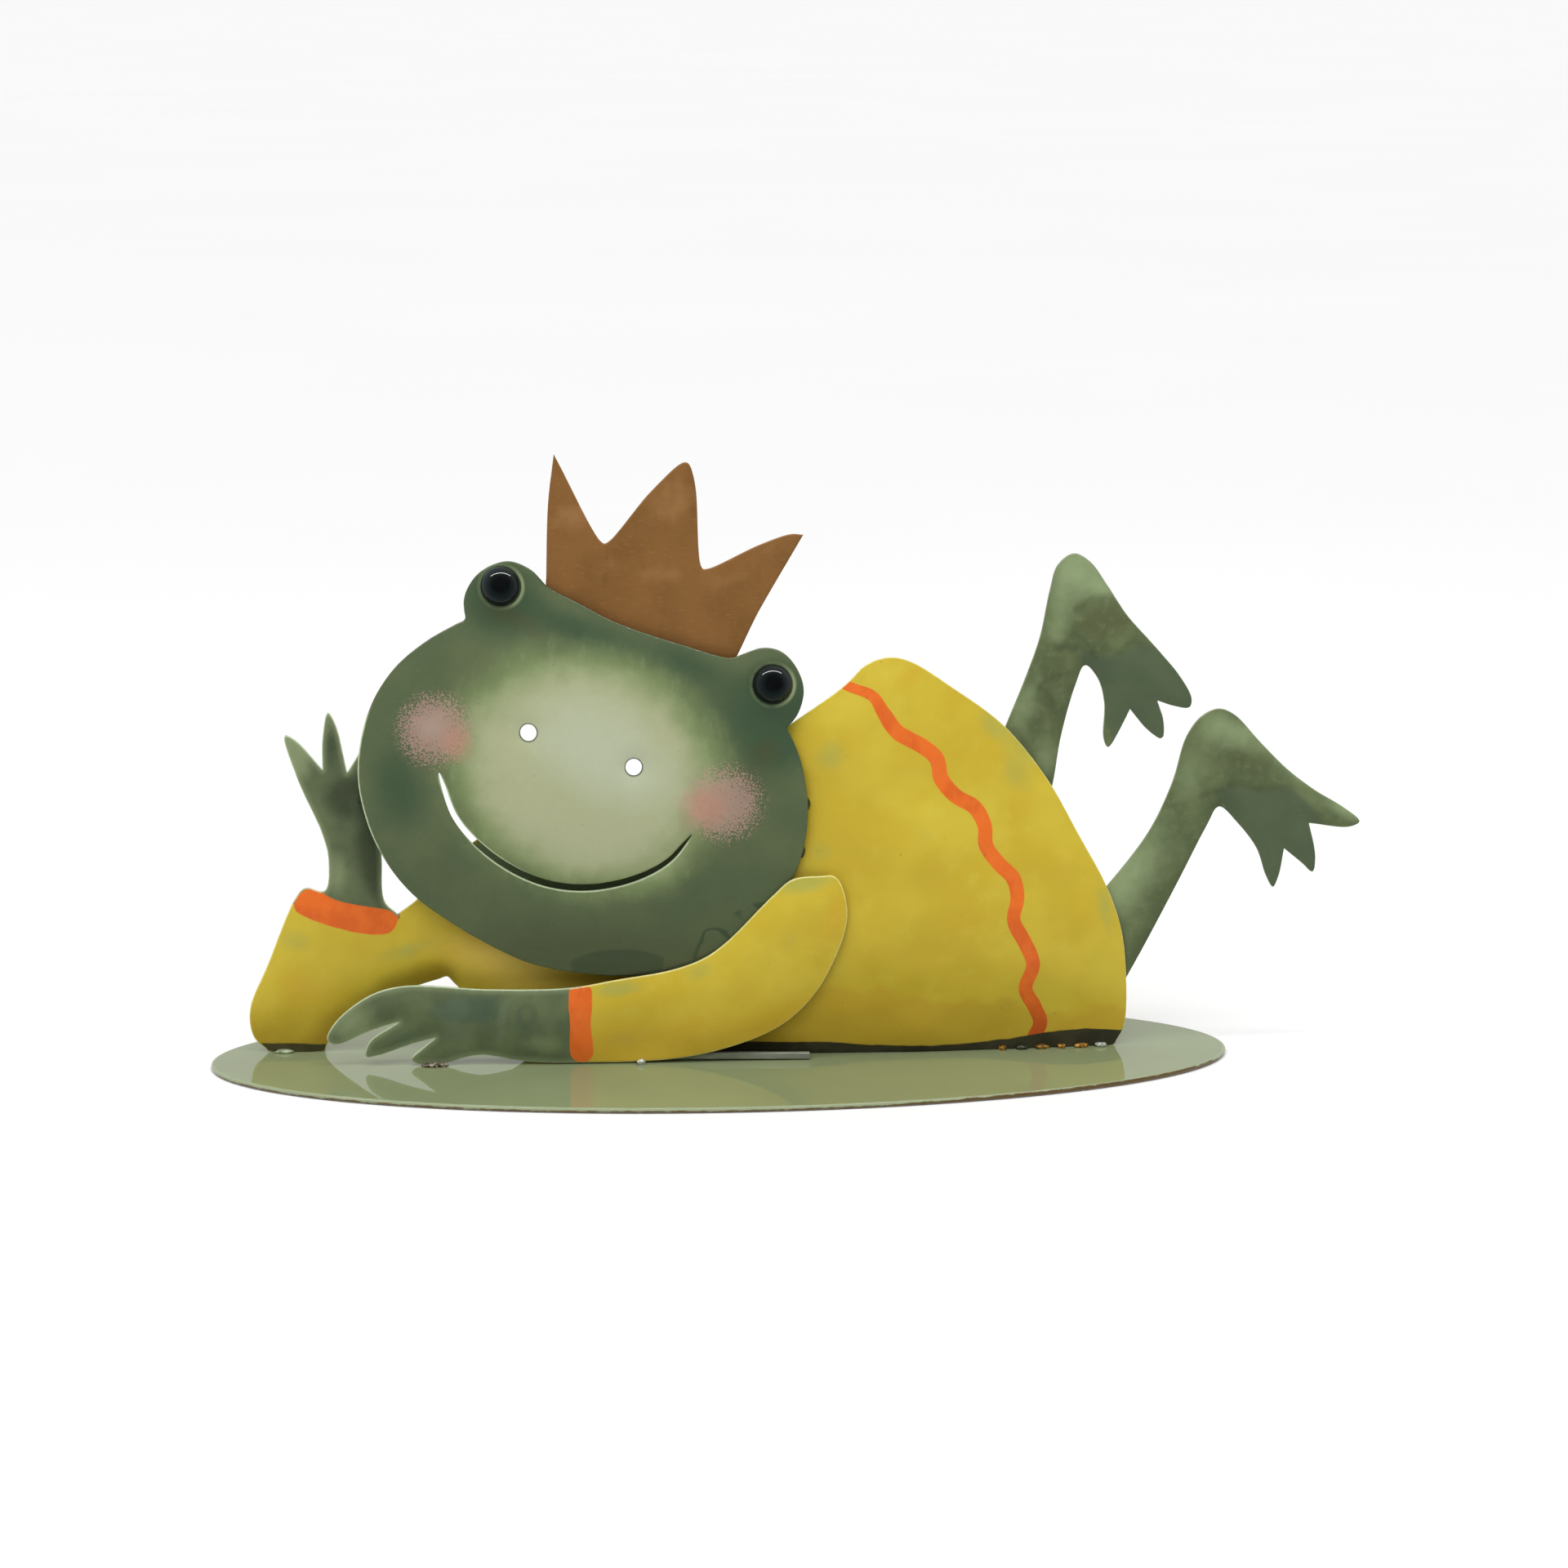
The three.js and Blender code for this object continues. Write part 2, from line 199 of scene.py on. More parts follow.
def region(q, points):
    """Signed distance from a smooth closed region: below 0 inside it."""
    loop = smooth_loop(np.array(points, float), 0.8)
    gap = line_distance(q, loop, closed=True)
    return np.where(inside(q, [loop]), -gap, gap)


def smoothstep(value, lo, hi):
    t = np.clip((value - lo) / (hi - lo), 0, 1)
    return t * t * (3 - 2 * t)


def spot(q, centre, radii, turn=0.0, core=0.0):
    """An airbrushed oval: 1 inside its core, fading to 0 at its edge."""
    dx, dz = q[:, 0] - centre[0], q[:, 1] - centre[1]
    along = (dx * math.cos(turn) + dz * math.sin(turn)) / radii[0]
    across = (dz * math.cos(turn) - dx * math.sin(turn)) / radii[1]
    return 1 - smoothstep(np.hypot(along, across), core, 1)


def spots(q, *ovals):
    """Airbrushed ovals laid over each other: centre x and z, two radii, turn, strength[, core]."""
    left = np.ones(len(q))
    for x, z, along, across, turn, strength, *core in ovals:
        left *= 1 - strength * spot(q, (x, z), (along, across), turn, *core)
    return 1 - left


def from_points(q, points):
    """Distance from the nearest of several points."""
    return np.min([np.hypot(q[:, 0] - x, q[:, 1] - z) for x, z in points], axis=0)


def from_loops(q, loops):
    """Distance from the nearest of several closed loops."""
    return np.min([line_distance(q, p, closed=True) for p in loops], axis=0)


def strokes(q, *lines):
    """Distance from the nearest of several smooth open lines."""
    return np.min([line_distance(q, smooth_run(line, 0.8)) for line in lines], axis=0)


# ------------------------ paint: where each coat lies, painted shade and painted highlights among them

STRIPE = [
    (35, 118.5), (38.3, 116.7), (46, 113.7), (49.2, 108.7), (53.4, 102.7), (61.2, 98.1), (65.7, 93.9),
    (66.9, 88.2), (71.3, 82.8), (77.4, 78.8), (80.5, 73.1), (80.7, 67.4), (84.3, 62), (89.4, 56.6),
    (90.7, 50.6), (89.4, 43.8), (93, 36.7), (95.7, 29.6), (93.5, 21.8), (96.8, 15.2), (98.8, 9.7),
    (97.1, 5.7), (97, 4.9),
]
TORSO_HEM = [
    (-20, 5.3), (29, 5.3), (37.8, 4.6), (54.8, 3.4), (72, 3.3), (89.5, 4.6), (100.7, 6.3), (112.2, 6.9),
    (124.4, 6), (130, 6),
]
PROPPING_CUFF = [
    (-130, 51.3), (-126.7, 53.8), (-122.8, 52.8), (-118.3, 50.4), (-107.4, 48), (-102.6, 46.9),
    (-98.9, 44.8), (-99.7, 42.6), (-102, 39.9), (-107.5, 39.4), (-115.3, 40.8), (-123, 43.2),
    (-130.9, 47.4),
]
FRONT_CUFF = [
    (-46.8, 25.4), (-43.8, 26.4), (-40.8, 25.2), (-40.4, 20), (-40.9, 14), (-40.2, 8), (-40.6, 3.6),
    (-43.6, 2), (-46.6, 3.4), (-47.4, 9), (-47.2, 15), (-47.6, 20.5),
]
# ARCH: the edge under the forearm, along which the sleeve gets painted shade
ARCH = [(-124, 2), (-121.5, 4.5), (-110, 14), (-96.5, 21.5), (-86, 25)]
EYE_CENTRES = [(-66.5, 147.5), (15.5, 117.5)]
NOSTRILS = [(-58.8, 104), (-27.1, 93.5)]
TILT = -0.32  # turn of the head
LOWER_LIP = [(-84.9, 89.5), (-74.9, 71), (-57.4, 58), (-39.4, 55), (-24.4, 57.5), (-7.4, 71)]

NEAR_HEEL = [(151, 98), (154, 101), (159, 100), (164, 98), (169, 94.5)]
NEAR_ANKLE = [(147, 87), (144, 83), (140, 77)]
# creases: pressed grooves, darkened in the paint as painted shade
NEAR_CREASES = [
    [(155, 93.5), (161, 92.5), (166, 89.5), (168, 85.5)], [(149, 80.5), (158, 84), (166, 82.5), (177, 83.5)],
]
NEAR_FOOT = [
    (152, 81.5), (158, 84), (166, 82.5), (176, 82.5), (182, 78), (187, 72), (191, 64), (191, 46),
    (168, 46), (160, 66), (155, 78),
]
# shin edge: the side of each shin that gets painted shade
NEAR_SHIN_EDGE = [(157, 79), (148, 58), (131, 28)]
FAR_HEEL = [(110, 147), (116, 145), (121, 143.5), (126, 141.5)]
FAR_ANKLE = [(105, 131), (103, 127)]
FAR_CREASES = [
    [(110, 138), (115, 141), (124, 140), (127, 136)],
    [(104, 126), (110, 126), (116, 123.5), (123, 125), (128, 128), (132, 126)],
    [(97, 115), (102, 110), (103, 103), (107, 97)],
]
FAR_FOOT = [
    (108, 123), (112, 125), (117, 123), (123, 125), (128, 127.5), (134, 127), (141, 123), (154, 114),
    (152, 95), (122, 93), (117.5, 108), (113.5, 120),
]
FAR_SHIN_EDGE = [(115, 122), (112, 109), (105, 85), (101, 73)]


def torso_paint(q):
    line = np.array(TORSO_HEM)
    half_width = np.interp(q[:, 1], [0, 40, 85, 105, 118], [2.2, 2.2, 2.3, 2.3, 1.4])
    return {
        "stripe": strokes(q, STRIPE) - half_width,
        # hem: a strip of green ground at the bottom, painted dark as it lies in shade
        "hem": q[:, 1] - 0.3 - np.interp(q[:, 0], line[:, 0], line[:, 1]),
        # low: height above a line near the bottom, below which the paint darkens, partly as painted shade
        "low": q[:, 1] - np.interp(q[:, 0], [-15, 36, 60, 88, 100, 126], [25, 24, 20, 21, 13, 12]),
        "green": spots(
            q,
            (84, 103, 15, 7, -0.75, 0.6), (33, 95, 9, 8, 0, 0.6), (30, 66, 8, 7, 0, 0.45),
            (91, 89, 9, 12, 0.4, 0.6), (119, 45, 5, 18, 0.2, 0.6),
            (62, 72, 6, 7, 0, 0.3), (46, 104, 7, 4, 0.3, 0.3), (92, 98, 4, 16, 0.6, 0.5),
        ),
        "amber": spots(
            q,
            (57, 119, 13, 7, 0, 0.5), (29, 74, 14, 8, 0.2, 0.2), (92, 78, 11, 12, 0, 0.4),
            (74, 44, 20, 11, 0, 0.35), (106, 60, 9, 12, 0.3, 0.4), (54, 92, 12, 9, 0, 0.25),
            (100, 20, 10, 8, 0, 0.3), (43, 61, 6, 4, 0, 0.4),
        ),
    }


def head_paint(q):
    return {
        "glow": spots(q, (-41.5, 92, 54, 46, TILT, 1.0, 0.4), (-20, 62, 16, 12, 0.5, 0.2)),
        "pale": spots(
            q, (-40, 101, 38, 26, TILT, 0.75, 0.1), (-26, 88, 30, 20, TILT, 0.5),
            (-88, 106, 13, 12, 0, 0.5),
        ),
        "teal": spots(
            q,
            (-98, 86, 17, 26, 0.1, 0.8), (-12, 124, 38, 10, -0.35, 0.75),
            (-45, 135, 28, 9, -0.4, 0.8), (17, 106, 22, 26, 0, 0.95, 0.2),
            (-67, 143, 20, 20, 0, 0.8, 0.2), (2, 110, 16, 12, -0.6, 0.5),
        ),
        "chin": spots(
            q, (-42, 32, 66, 22, -0.08, 0.8, 0.2), (-6, 42, 34, 18, 0.6, 0.2),
            (-84, 58, 20, 16, -0.8, 0.35),
        ),
        "brown": spots(
            q,
            (-65, 139, 15, 7, -0.35, 0.75), (13, 97, 9, 8, 0, 0.8), (8, 89, 12, 9, 0, 0.5),
            (-92, 98, 7, 15, 0.3, 0.35), (-55, 133, 12, 5, -0.4, 0.3),
            (-60, 60, 24, 6, -0.4, 0.3),
        ),
        "cheek": np.maximum(
            spot(q, (-87, 104.5), (18, 17), 0.2, 0.1), spot(q, (0, 82), (19, 18), -0.2, 0.1)
        ),
        "rouge": spots(q, (-80.5, 101, 9, 11, 0, 0.85), (-6, 81, 13, 12, -0.3, 0.95)),
        "socket": from_points(q, EYE_CENTRES),
        # socket_light: one side of each eye's ring lighter, a painted highlight on the socket's rim
        "socket_light": np.max([spot(q, (x + 5.5, z - 1), (9, 9), 0, 0.2) for x, z in EYE_CENTRES], axis=0),
        "dark_edge": np.minimum(
            strokes(q, [(-53, 150), (-40, 144), (-29, 138.5), (-15, 134), (5, 128.5)]),
            from_points(q, NOSTRILS) - 1.5,
        ),
        "lit_edge": np.maximum(
            spot(q, (-110, 84), (12, 34), 0, 0.5), 1 - smoothstep(strokes(q, LOWER_LIP), 1.3, 2.3)
        ),
        "patch": region(q, [(-47, 33), (-40, 36), (-26, 36.5), (-18, 34), (-20, 28), (-45, 28)]),
        "leaf": region(q, [(-16, 33), (-10, 40), (0, 46), (10, 51), (16, 50), (8, 40), (-4, 34)]),
    }


def front_arm_paint(q):
    return {
        "cuff": region(q, FRONT_CUFF),
        "hand": q[:, 0] + 43.8,
        # low: below this line the sleeve darkens as painted shade
        "low": q[:, 1] - 16 - 0.25 * np.clip(q[:, 0], 0, None),
        "green": spots(
            q, (24, 58, 18, 7, 0.2, 0.9), (-32, 25, 14, 4, 0.1, 0.8), (-30, 9, 12, 6, 0, 0.45),
            (-8, 30, 10, 5, 0.3, 0.5), (20, 40, 7, 9, 0, 0.3), (2, 42, 12, 4, 0.6, 0.5),
        ),
        "dark": spots(
            q, (-78, 19, 18, 7, 0, 0.8, 0.2), (-80, 6, 13, 6, 0.1, 0.1), (-56, 26, 14, 4, 0, 0.5),
            (-98, 10, 8, 4, 0.5, 0.5),
        ),
        "pale": spots(
            q, (-113, 14, 13, 9, 0.6, 0.8), (-55, 8, 14, 6, 0, 0.5), (-80, 8, 15, 5, 0, 0.35)
        ),
        "palm": spots(q, (-74, 16, 28, 12, 0, 1.0, 0.4)),
        "amber": spots(q, (34, 46, 7, 14, -0.3, 0.8), (-10, 14, 20, 7, 0.3, 0.5)),
    }


def propping_arm_paint(q):
    return {
        "cuff": region(q, PROPPING_CUFF),
        "hand": np.maximum(46.4 - 0.155 * (q[:, 0] + 115) - q[:, 1], q[:, 0] + 98.8),
        # low: below this line the sleeve darkens as painted shade
        "low": q[:, 1] - 12,
        # lit: a painted pool of light on the sleeve under the chin
        "lit": spots(q, (-64, 29, 28, 12, -0.25, 0.9, 0.2)),
        "arch": strokes(q, ARCH),
        # behind: green paint behind the head, made pale as painted light for the mouth slot before it
        "behind": region(q, [(-84, 62), (-60, 78), (0, 92), (22, 78), (16, 44), (-30, 44), (-62, 48)]),
        # hem: a strip of green ground at the bottom, painted dark as painted shade
        "hem": q[:, 1] - 4.3,
        "green": spots(q, (-97, 34, 20, 5, 0.3, 0.5), (-132, 38, 10, 8, 0, 0.5)),
        "dark": spots(
            q, (-118, 99, 7, 16, 0, 0.7), (-113, 83, 14, 10, 0, 0.8, 0.3),
            (-103, 64, 11, 28, 0.1, 1.0, 0.3), (-110, 70, 18, 26, 0, 0.45),
        ),
        # pale: a lighter finger, and on the wrist a painted highlight
        "pale": spots(q, (-132, 98, 9, 15, 0.5, 0.95, 0.3), (-117.5, 59, 6, 13, 0, 0.6)),
        "palm": spots(q, (-115, 80, 12, 20, 0, 0.4)),
        "amber": spots(q, (-70, 34, 34, 16, -0.3, 0.9), (-130, 22, 14, 14, 0, 0.6)),
    }


def leg_paint(foot, creases, shin_edge, pale, brown, clouds):
    """A dark foot, painted shade in the creases and on one side of the shin, pale paint with painted
    highlights, and clouds.
    """
    return lambda q: {
        "foot": region(q, foot),
        "crease": strokes(q, *creases),
        "shin_edge": strokes(q, shin_edge),
        "pale": spots(q, *pale),
        "brown": spots(q, *brown),
        "clouds": spots(q, *clouds),
    }


def crown_paint(q):
    # pale: lighter patches on the copper, painted highlights
    return {"pale": spots(
        q,
        (-46, 168, 12, 9, 0.2, 0.7), (-14, 173, 18, 11, 0.5, 0.65), (-19, 151, 14, 7, 0, 0.6),
        (1, 149, 13, 7, 0, 0.55), (-35, 153, 12, 8, 0.5, 0.4), (14, 158, 14, 7, 0.5, 0.4),
    )}


# pale spots on the legs: painted highlights at heel, ankle and shin, and pale patches of paint
NEAR_PALE = [
    (160, 99.5, 16, 8, -0.3, 0.7), (152, 100, 12, 13, 0, 0.45), (144, 86, 9, 12, 0, 0.5),
    (175, 90, 18, 4.5, -0.72, 0.6), (124, 54, 16, 36, -0.5, 0.9), (194, 76, 14, 5, -0.4, 0.8),
]
NEAR_BROWN = [(161, 90, 13, 6, -0.2, 0.6), (150, 80, 6, 9, -0.4, 0.3), (166, 88, 7, 5, 0, 0.4)]
NEAR_CLOUDS = [(158, 92, 16, 12, 0, 0.8), (146, 78, 10, 14, 0, 0.5)]
# pale spots: painted highlights at heel and ankle, and pale patches of paint
FAR_PALE = [
    (113, 150, 17, 14, 0, 0.8, 0.3), (105, 140, 8, 16, -0.2, 0.6), (104, 131, 6, 6, 0, 0.5),
    (117, 144.5, 10, 4, -0.25, 0.6), (93, 108, 8, 18, -0.4, 0.55), (101, 92, 7, 11, 0, 0.5),
]
FAR_BROWN = [
    (119, 134, 14, 8, 0.1, 0.9, 0.3), (105, 118, 8, 14, -0.3, 0.7), (99, 106, 6, 10, 0, 0.5),
]
FAR_CLOUDS = [(116, 130, 20, 14, 0, 0.9, 0.3), (102, 110, 14, 24, -0.3, 1.0, 0.3)]

# ------------------------ the sheets


def ring(centre, radius):
    angles = np.linspace(0, 2 * math.pi, 17)
    return [(centre[0] + radius * math.cos(a), centre[1] + radius * math.sin(a)) for a in angles]


# step: mesh size; rise and reach: height of the soft swell and its distance from the edge;
# dents: depth and size of the hammer marks; ridges: pressed lines as (points, half width, height)
SHEETS = {
    "torso_shell": dict(step=1.7, rise=1.0, reach=9, dents=(1.7, 15), paint=torso_paint, ridges=[]),
    "propping_arm": dict(
        step=1.6, rise=1.3, reach=11, dents=(0.4, 17), paint=propping_arm_paint, ridges=[]
    ),
    "front_arm": dict(
        step=1.3, rise=1.7, reach=11, dents=(0.4, 15), paint=front_arm_paint,
        ridges=[([(22, 58), (30, 59.5), (36, 58)], 1.2, 0.5)],
    ),
    "near_leg": dict(
        step=0.9, rise=1.3, reach=10, dents=(0.2, 13),
        paint=leg_paint(NEAR_FOOT, NEAR_CREASES, NEAR_SHIN_EDGE, NEAR_PALE, NEAR_BROWN, NEAR_CLOUDS),
        ridges=[(NEAR_HEEL, 3.0, 0.9), (NEAR_ANKLE, 2.6, 0.3)] + [(c, 1.5, -0.35) for c in NEAR_CREASES],
    ),
    "far_leg": dict(
        step=0.9, rise=1.3, reach=10, dents=(0.4, 11),
        paint=leg_paint(FAR_FOOT, FAR_CREASES, FAR_SHIN_EDGE, FAR_PALE, FAR_BROWN, FAR_CLOUDS),
        ridges=[(FAR_HEEL, 2.8, 0.9), (FAR_ANKLE, 2.4, 0.5)] + [(c, 1.4, -0.45) for c in FAR_CREASES],
    ),
    "head_panel": dict(
        step=1.3, rise=0.8, reach=6, dents=(0.3, 30), paint=head_paint,
        ridges=[(ring(centre, 7.9), 0.9, 0.45) for centre in EYE_CENTRES],
    ),
    "crown": dict(step=1.6, rise=0.2, reach=4, dents=(0.15, 14), paint=crown_paint, ridges=[]),
}


def search_tree(meshes):
    """One search tree of several meshes, in millimetres."""
    verts, faces = [], []
    for mesh in meshes:
        first = len(verts)
        verts += [v.co / MM for v in mesh.vertices]
        faces += [[first + i for i in p.vertices] for p in mesh.polygons]
    return BVHTree.FromPolygons(verts, faces)


def hits(tree, q, y, direction):
    """Y where rays along Y from (x, y, z) meet the tree, or nan."""
    found = np.full(len(q), np.nan)
    for i, (x, z) in enumerate(q):
        hit = tree.ray_cast(Vector((x, y[i], z)), Vector((0, direction, 0)))[0]
        if hit is not None:
            found[i] = hit.y
    return found


def front_depth(node, q):
    """Y of the node's front face at each point, carried over to points just off its edge."""
    y = hits(search_tree([NODES[node].data]), q, np.full(len(q), RAY_START), 1)
    known = ~np.isnan(y)
    for i in np.flatnonzero(~known):
        nearest = np.argmin(((q[known] - q[i]) ** 2).sum(1))
        y[i] = y[known][nearest]
    return y


def tacks_in_front(q, y):
    """Where tacks and welds stand on the front of a sheet, as (x, z)."""
    places = []
    for name in WELDS:
        lo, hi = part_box(name)
        centre = (lo + hi) / 2 / MM
        gap = np.hypot(q[:, 0] - centre.x, q[:, 1] - centre.z)
        nearest = int(np.argmin(gap))
        if gap[nearest] < TACK_NEAR and -TACK_AHEAD < centre.y - y[nearest] < 0:
            places.append((centre.x, centre.z))
    return places


def spread(values, edges, rounds, weight=0.5):
    """Evens values out along the mesh's edges."""
    a, b = edges[:, 0], edges[:, 1]
    count = np.bincount(edges.ravel(), minlength=len(values))
    for _ in range(rounds):
        total = np.bincount(a, values[b], len(values)) + np.bincount(b, values[a], len(values))
        values = values * (1 - weight) + weight * total / np.maximum(count, 1)
    return values


def relief(q, size, seed):
    """Broad hammer marks from 0 to 1: soft hollows that meet in low ridges."""
    out = np.empty(len(q))
    for i, (x, z) in enumerate(q):
        place = Vector((x / size + seed, z / size, seed * 0.37))
        cells = noise.voronoi(place, distance_metric="DISTANCE")[0]
        broad = noise.noise(place * 0.7 + Vector((7.1, 3.3, 1.9)))
        out[i] = min(1.0, max(0.0, 0.55 * min(cells[0] * 1.3, 1.0) + 0.45 * (0.5 + broad)))
    return out


def mesh_outline(loops, step):
    """The sheet's plane mesh: its points, its triangles and where each rim loop's points are."""
    rims = [inset(p, EDGE) for p in loops]
    lo, hi = loops[0].min(0), loops[0].max(0)
    rows = np.arange(lo[1], hi[1], step * math.sqrt(3) / 2)
    grid = np.array([
        (x + (step / 2 if k % 2 else 0), z)
        for k, z in enumerate(rows)
        for x in np.arange(lo[0], hi[0], step)
    ])
    grid = grid[inside(grid, rims) & (from_loops(grid, rims) > 0.9)]
    lining = np.vstack([inset(p, EDGE + 0.45)[::2] for p in loops])
    lining = lining[inside(lining, rims) & (from_loops(lining, rims) > 0.3)]
    points, edges, starts = [], [], []
    for p in rims:
        first = len(points)
        starts.append((first, len(p)))
        points += [tuple(v) for v in p]
        edges += [(first + i, first + (i + 1) % len(p)) for i in range(len(p))]
    points += [tuple(v) for v in lining] + [tuple(v) for v in grid]
    verts, _, faces, origins, _, _ = delaunay_2d_cdt([Vector(p) for p in points], edges, [], 0, 1e-5)
    place = {}
    for new, olds in enumerate(origins):
        for old in olds:
            place[old] = new
    q = np.array([(v.x, v.y) for v in verts])
    tris = np.array([f for f in faces if len(f) == 3])
    tris = tris[inside(q[tris].mean(1), rims)]
    corner = q[tris]
    ab, ac = corner[:, 1] - corner[:, 0], corner[:, 2] - corner[:, 0]
    flipped = ab[:, 0] * ac[:, 1] - ab[:, 1] * ac[:, 0] < 0
    tris[flipped] = tris[flipped][:, ::-1]
    return q, tris, [[place[first + i] for i in range(n)] for first, n in starts]


def add_piece(name, verts, faces, node, material):
    """A mesh piece in millimetres that stands for a CAD node."""
    mesh = bpy.data.meshes.new(name)
    mesh.from_pydata([tuple(c * MM for c in v) for v in verts], [], [tuple(map(int, f)) for f in faces])
    mesh.validate()
    bm = bmesh.new()
    bm.from_mesh(mesh)
    bmesh.ops.recalc_face_normals(bm, faces=bm.faces)
    bm.to_mesh(mesh)
    bm.free()
    mesh.shade_smooth()
    mesh.materials.append(material)
    piece = bpy.data.objects.new(name, mesh)
    bpy.context.scene.collection.objects.link(piece)
    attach(piece, "root")
    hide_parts(node)
    return piece


def set_masks(piece, masks):
    """Stores each mask's values on the piece's points, where its material reads them."""
    for name, values in masks.items():
        layer = piece.data.attributes.new(name, "FLOAT", "POINT")
        layer.data.foreach_set("value", np.asarray(values, np.float32))


def add_sheet(node, material, seed):
    spec = SHEETS[node]
    loops = [smooth_loop(without_straight_points(p)) for p in front_loops(node)]
    q, tris, rims = mesh_outline(loops, spec["step"])
    edges = np.unique(np.sort(np.vstack([tris[:, [0, 1]], tris[:, [1, 2]], tris[:, [2, 0]]]), 1), axis=0)

    # the CAD face, its facets smoothed away
    y = front_depth(node, q)
    basis = np.column_stack([q, np.ones(len(q))])
    plane = basis @ np.linalg.lstsq(basis, y, rcond=None)[0]
    y = plane + spread(y - plane, edges, 40)

    # a soft swell and hammer marks, only forwards, flat at a tack and never into what lies in front
    share = np.clip(from_loops(q, loops) / spec["reach"], 0, 1)
    share = share * (2 - share)
    depth, size = spec["dents"]
    lift = spec["rise"] + depth * relief(q, size, seed)
    for points, half_width, height in spec["ridges"]:
        lift += height * np.exp(-((strokes(q, points) / half_width) ** 2))
    for tack in tacks_in_front(q, y):
        share = share * (1 - np.exp(-((from_points(q, [tack]) / TACK_FADE) ** 2)))
    lift *= share
    others = [NODES[name].data for name in NODES if name != node and name not in WELDS]
    ahead = hits(search_tree(others), q, y - 0.05, -1)
    room = np.where(np.isnan(ahead), FAR, y - ahead - CLEARANCE)
    lift = np.minimum(lift, np.clip(room, 0, None))
    lift = np.minimum(spread(lift, edges, 3), np.clip(room, 0, None))
    y = y - lift

    # front, back and the rounded edge between them
    n = len(q)
    verts = [(x, d, z) for (x, z), d in zip(q, y)]
    verts += [(x, d + SHEET, z) for (x, z), d in zip(q, y)]
    side = [1.0] * n + [0.0] * n
    faces = [tuple(t) for t in tris] + [tuple(t[::-1] + n) for t in tris]
    profile = [(0.1, 0.1), (0.0, EDGE), (0.0, SHEET - EDGE), (0.1, SHEET - 0.1)]
    flat = [q, q]
    for p, ids in zip(loops, rims):
        rows = [np.array(ids)]
        for cut, depth in profile:
            ring = inset(p, cut)
            rows.append(np.arange(len(verts), len(verts) + len(p)))
            verts += [(x, y[i] + depth, z) for (x, z), i in zip(ring, ids)]
            side += [0.5] * len(p)
            flat.append(ring)
        rows.append(np.array(ids) + n)
        for a, b in zip(rows, rows[1:]):
            c, d = np.roll(a, -1), np.roll(b, -1)
            faces += list(zip(a, b, d, c))
    piece = add_piece(node + "_sheet", verts, faces, node, material)
    where = np.vstack(flat)
    masks = spec["paint"](where)
    masks["rim"] = from_loops(where, loops)
    masks["front"] = side
    set_masks(piece, masks)


# ------------------------ materials


def srgb(*rgb):
    """A colour given from 0 to 255 as a linear one."""
    c = np.array(rgb, float) / 255
    linear = np.where(c <= 0.04045, c / 12.92, ((c + 0.055) / 1.055) ** 2.4)
    return (*[float(v) for v in linear], 1.0)


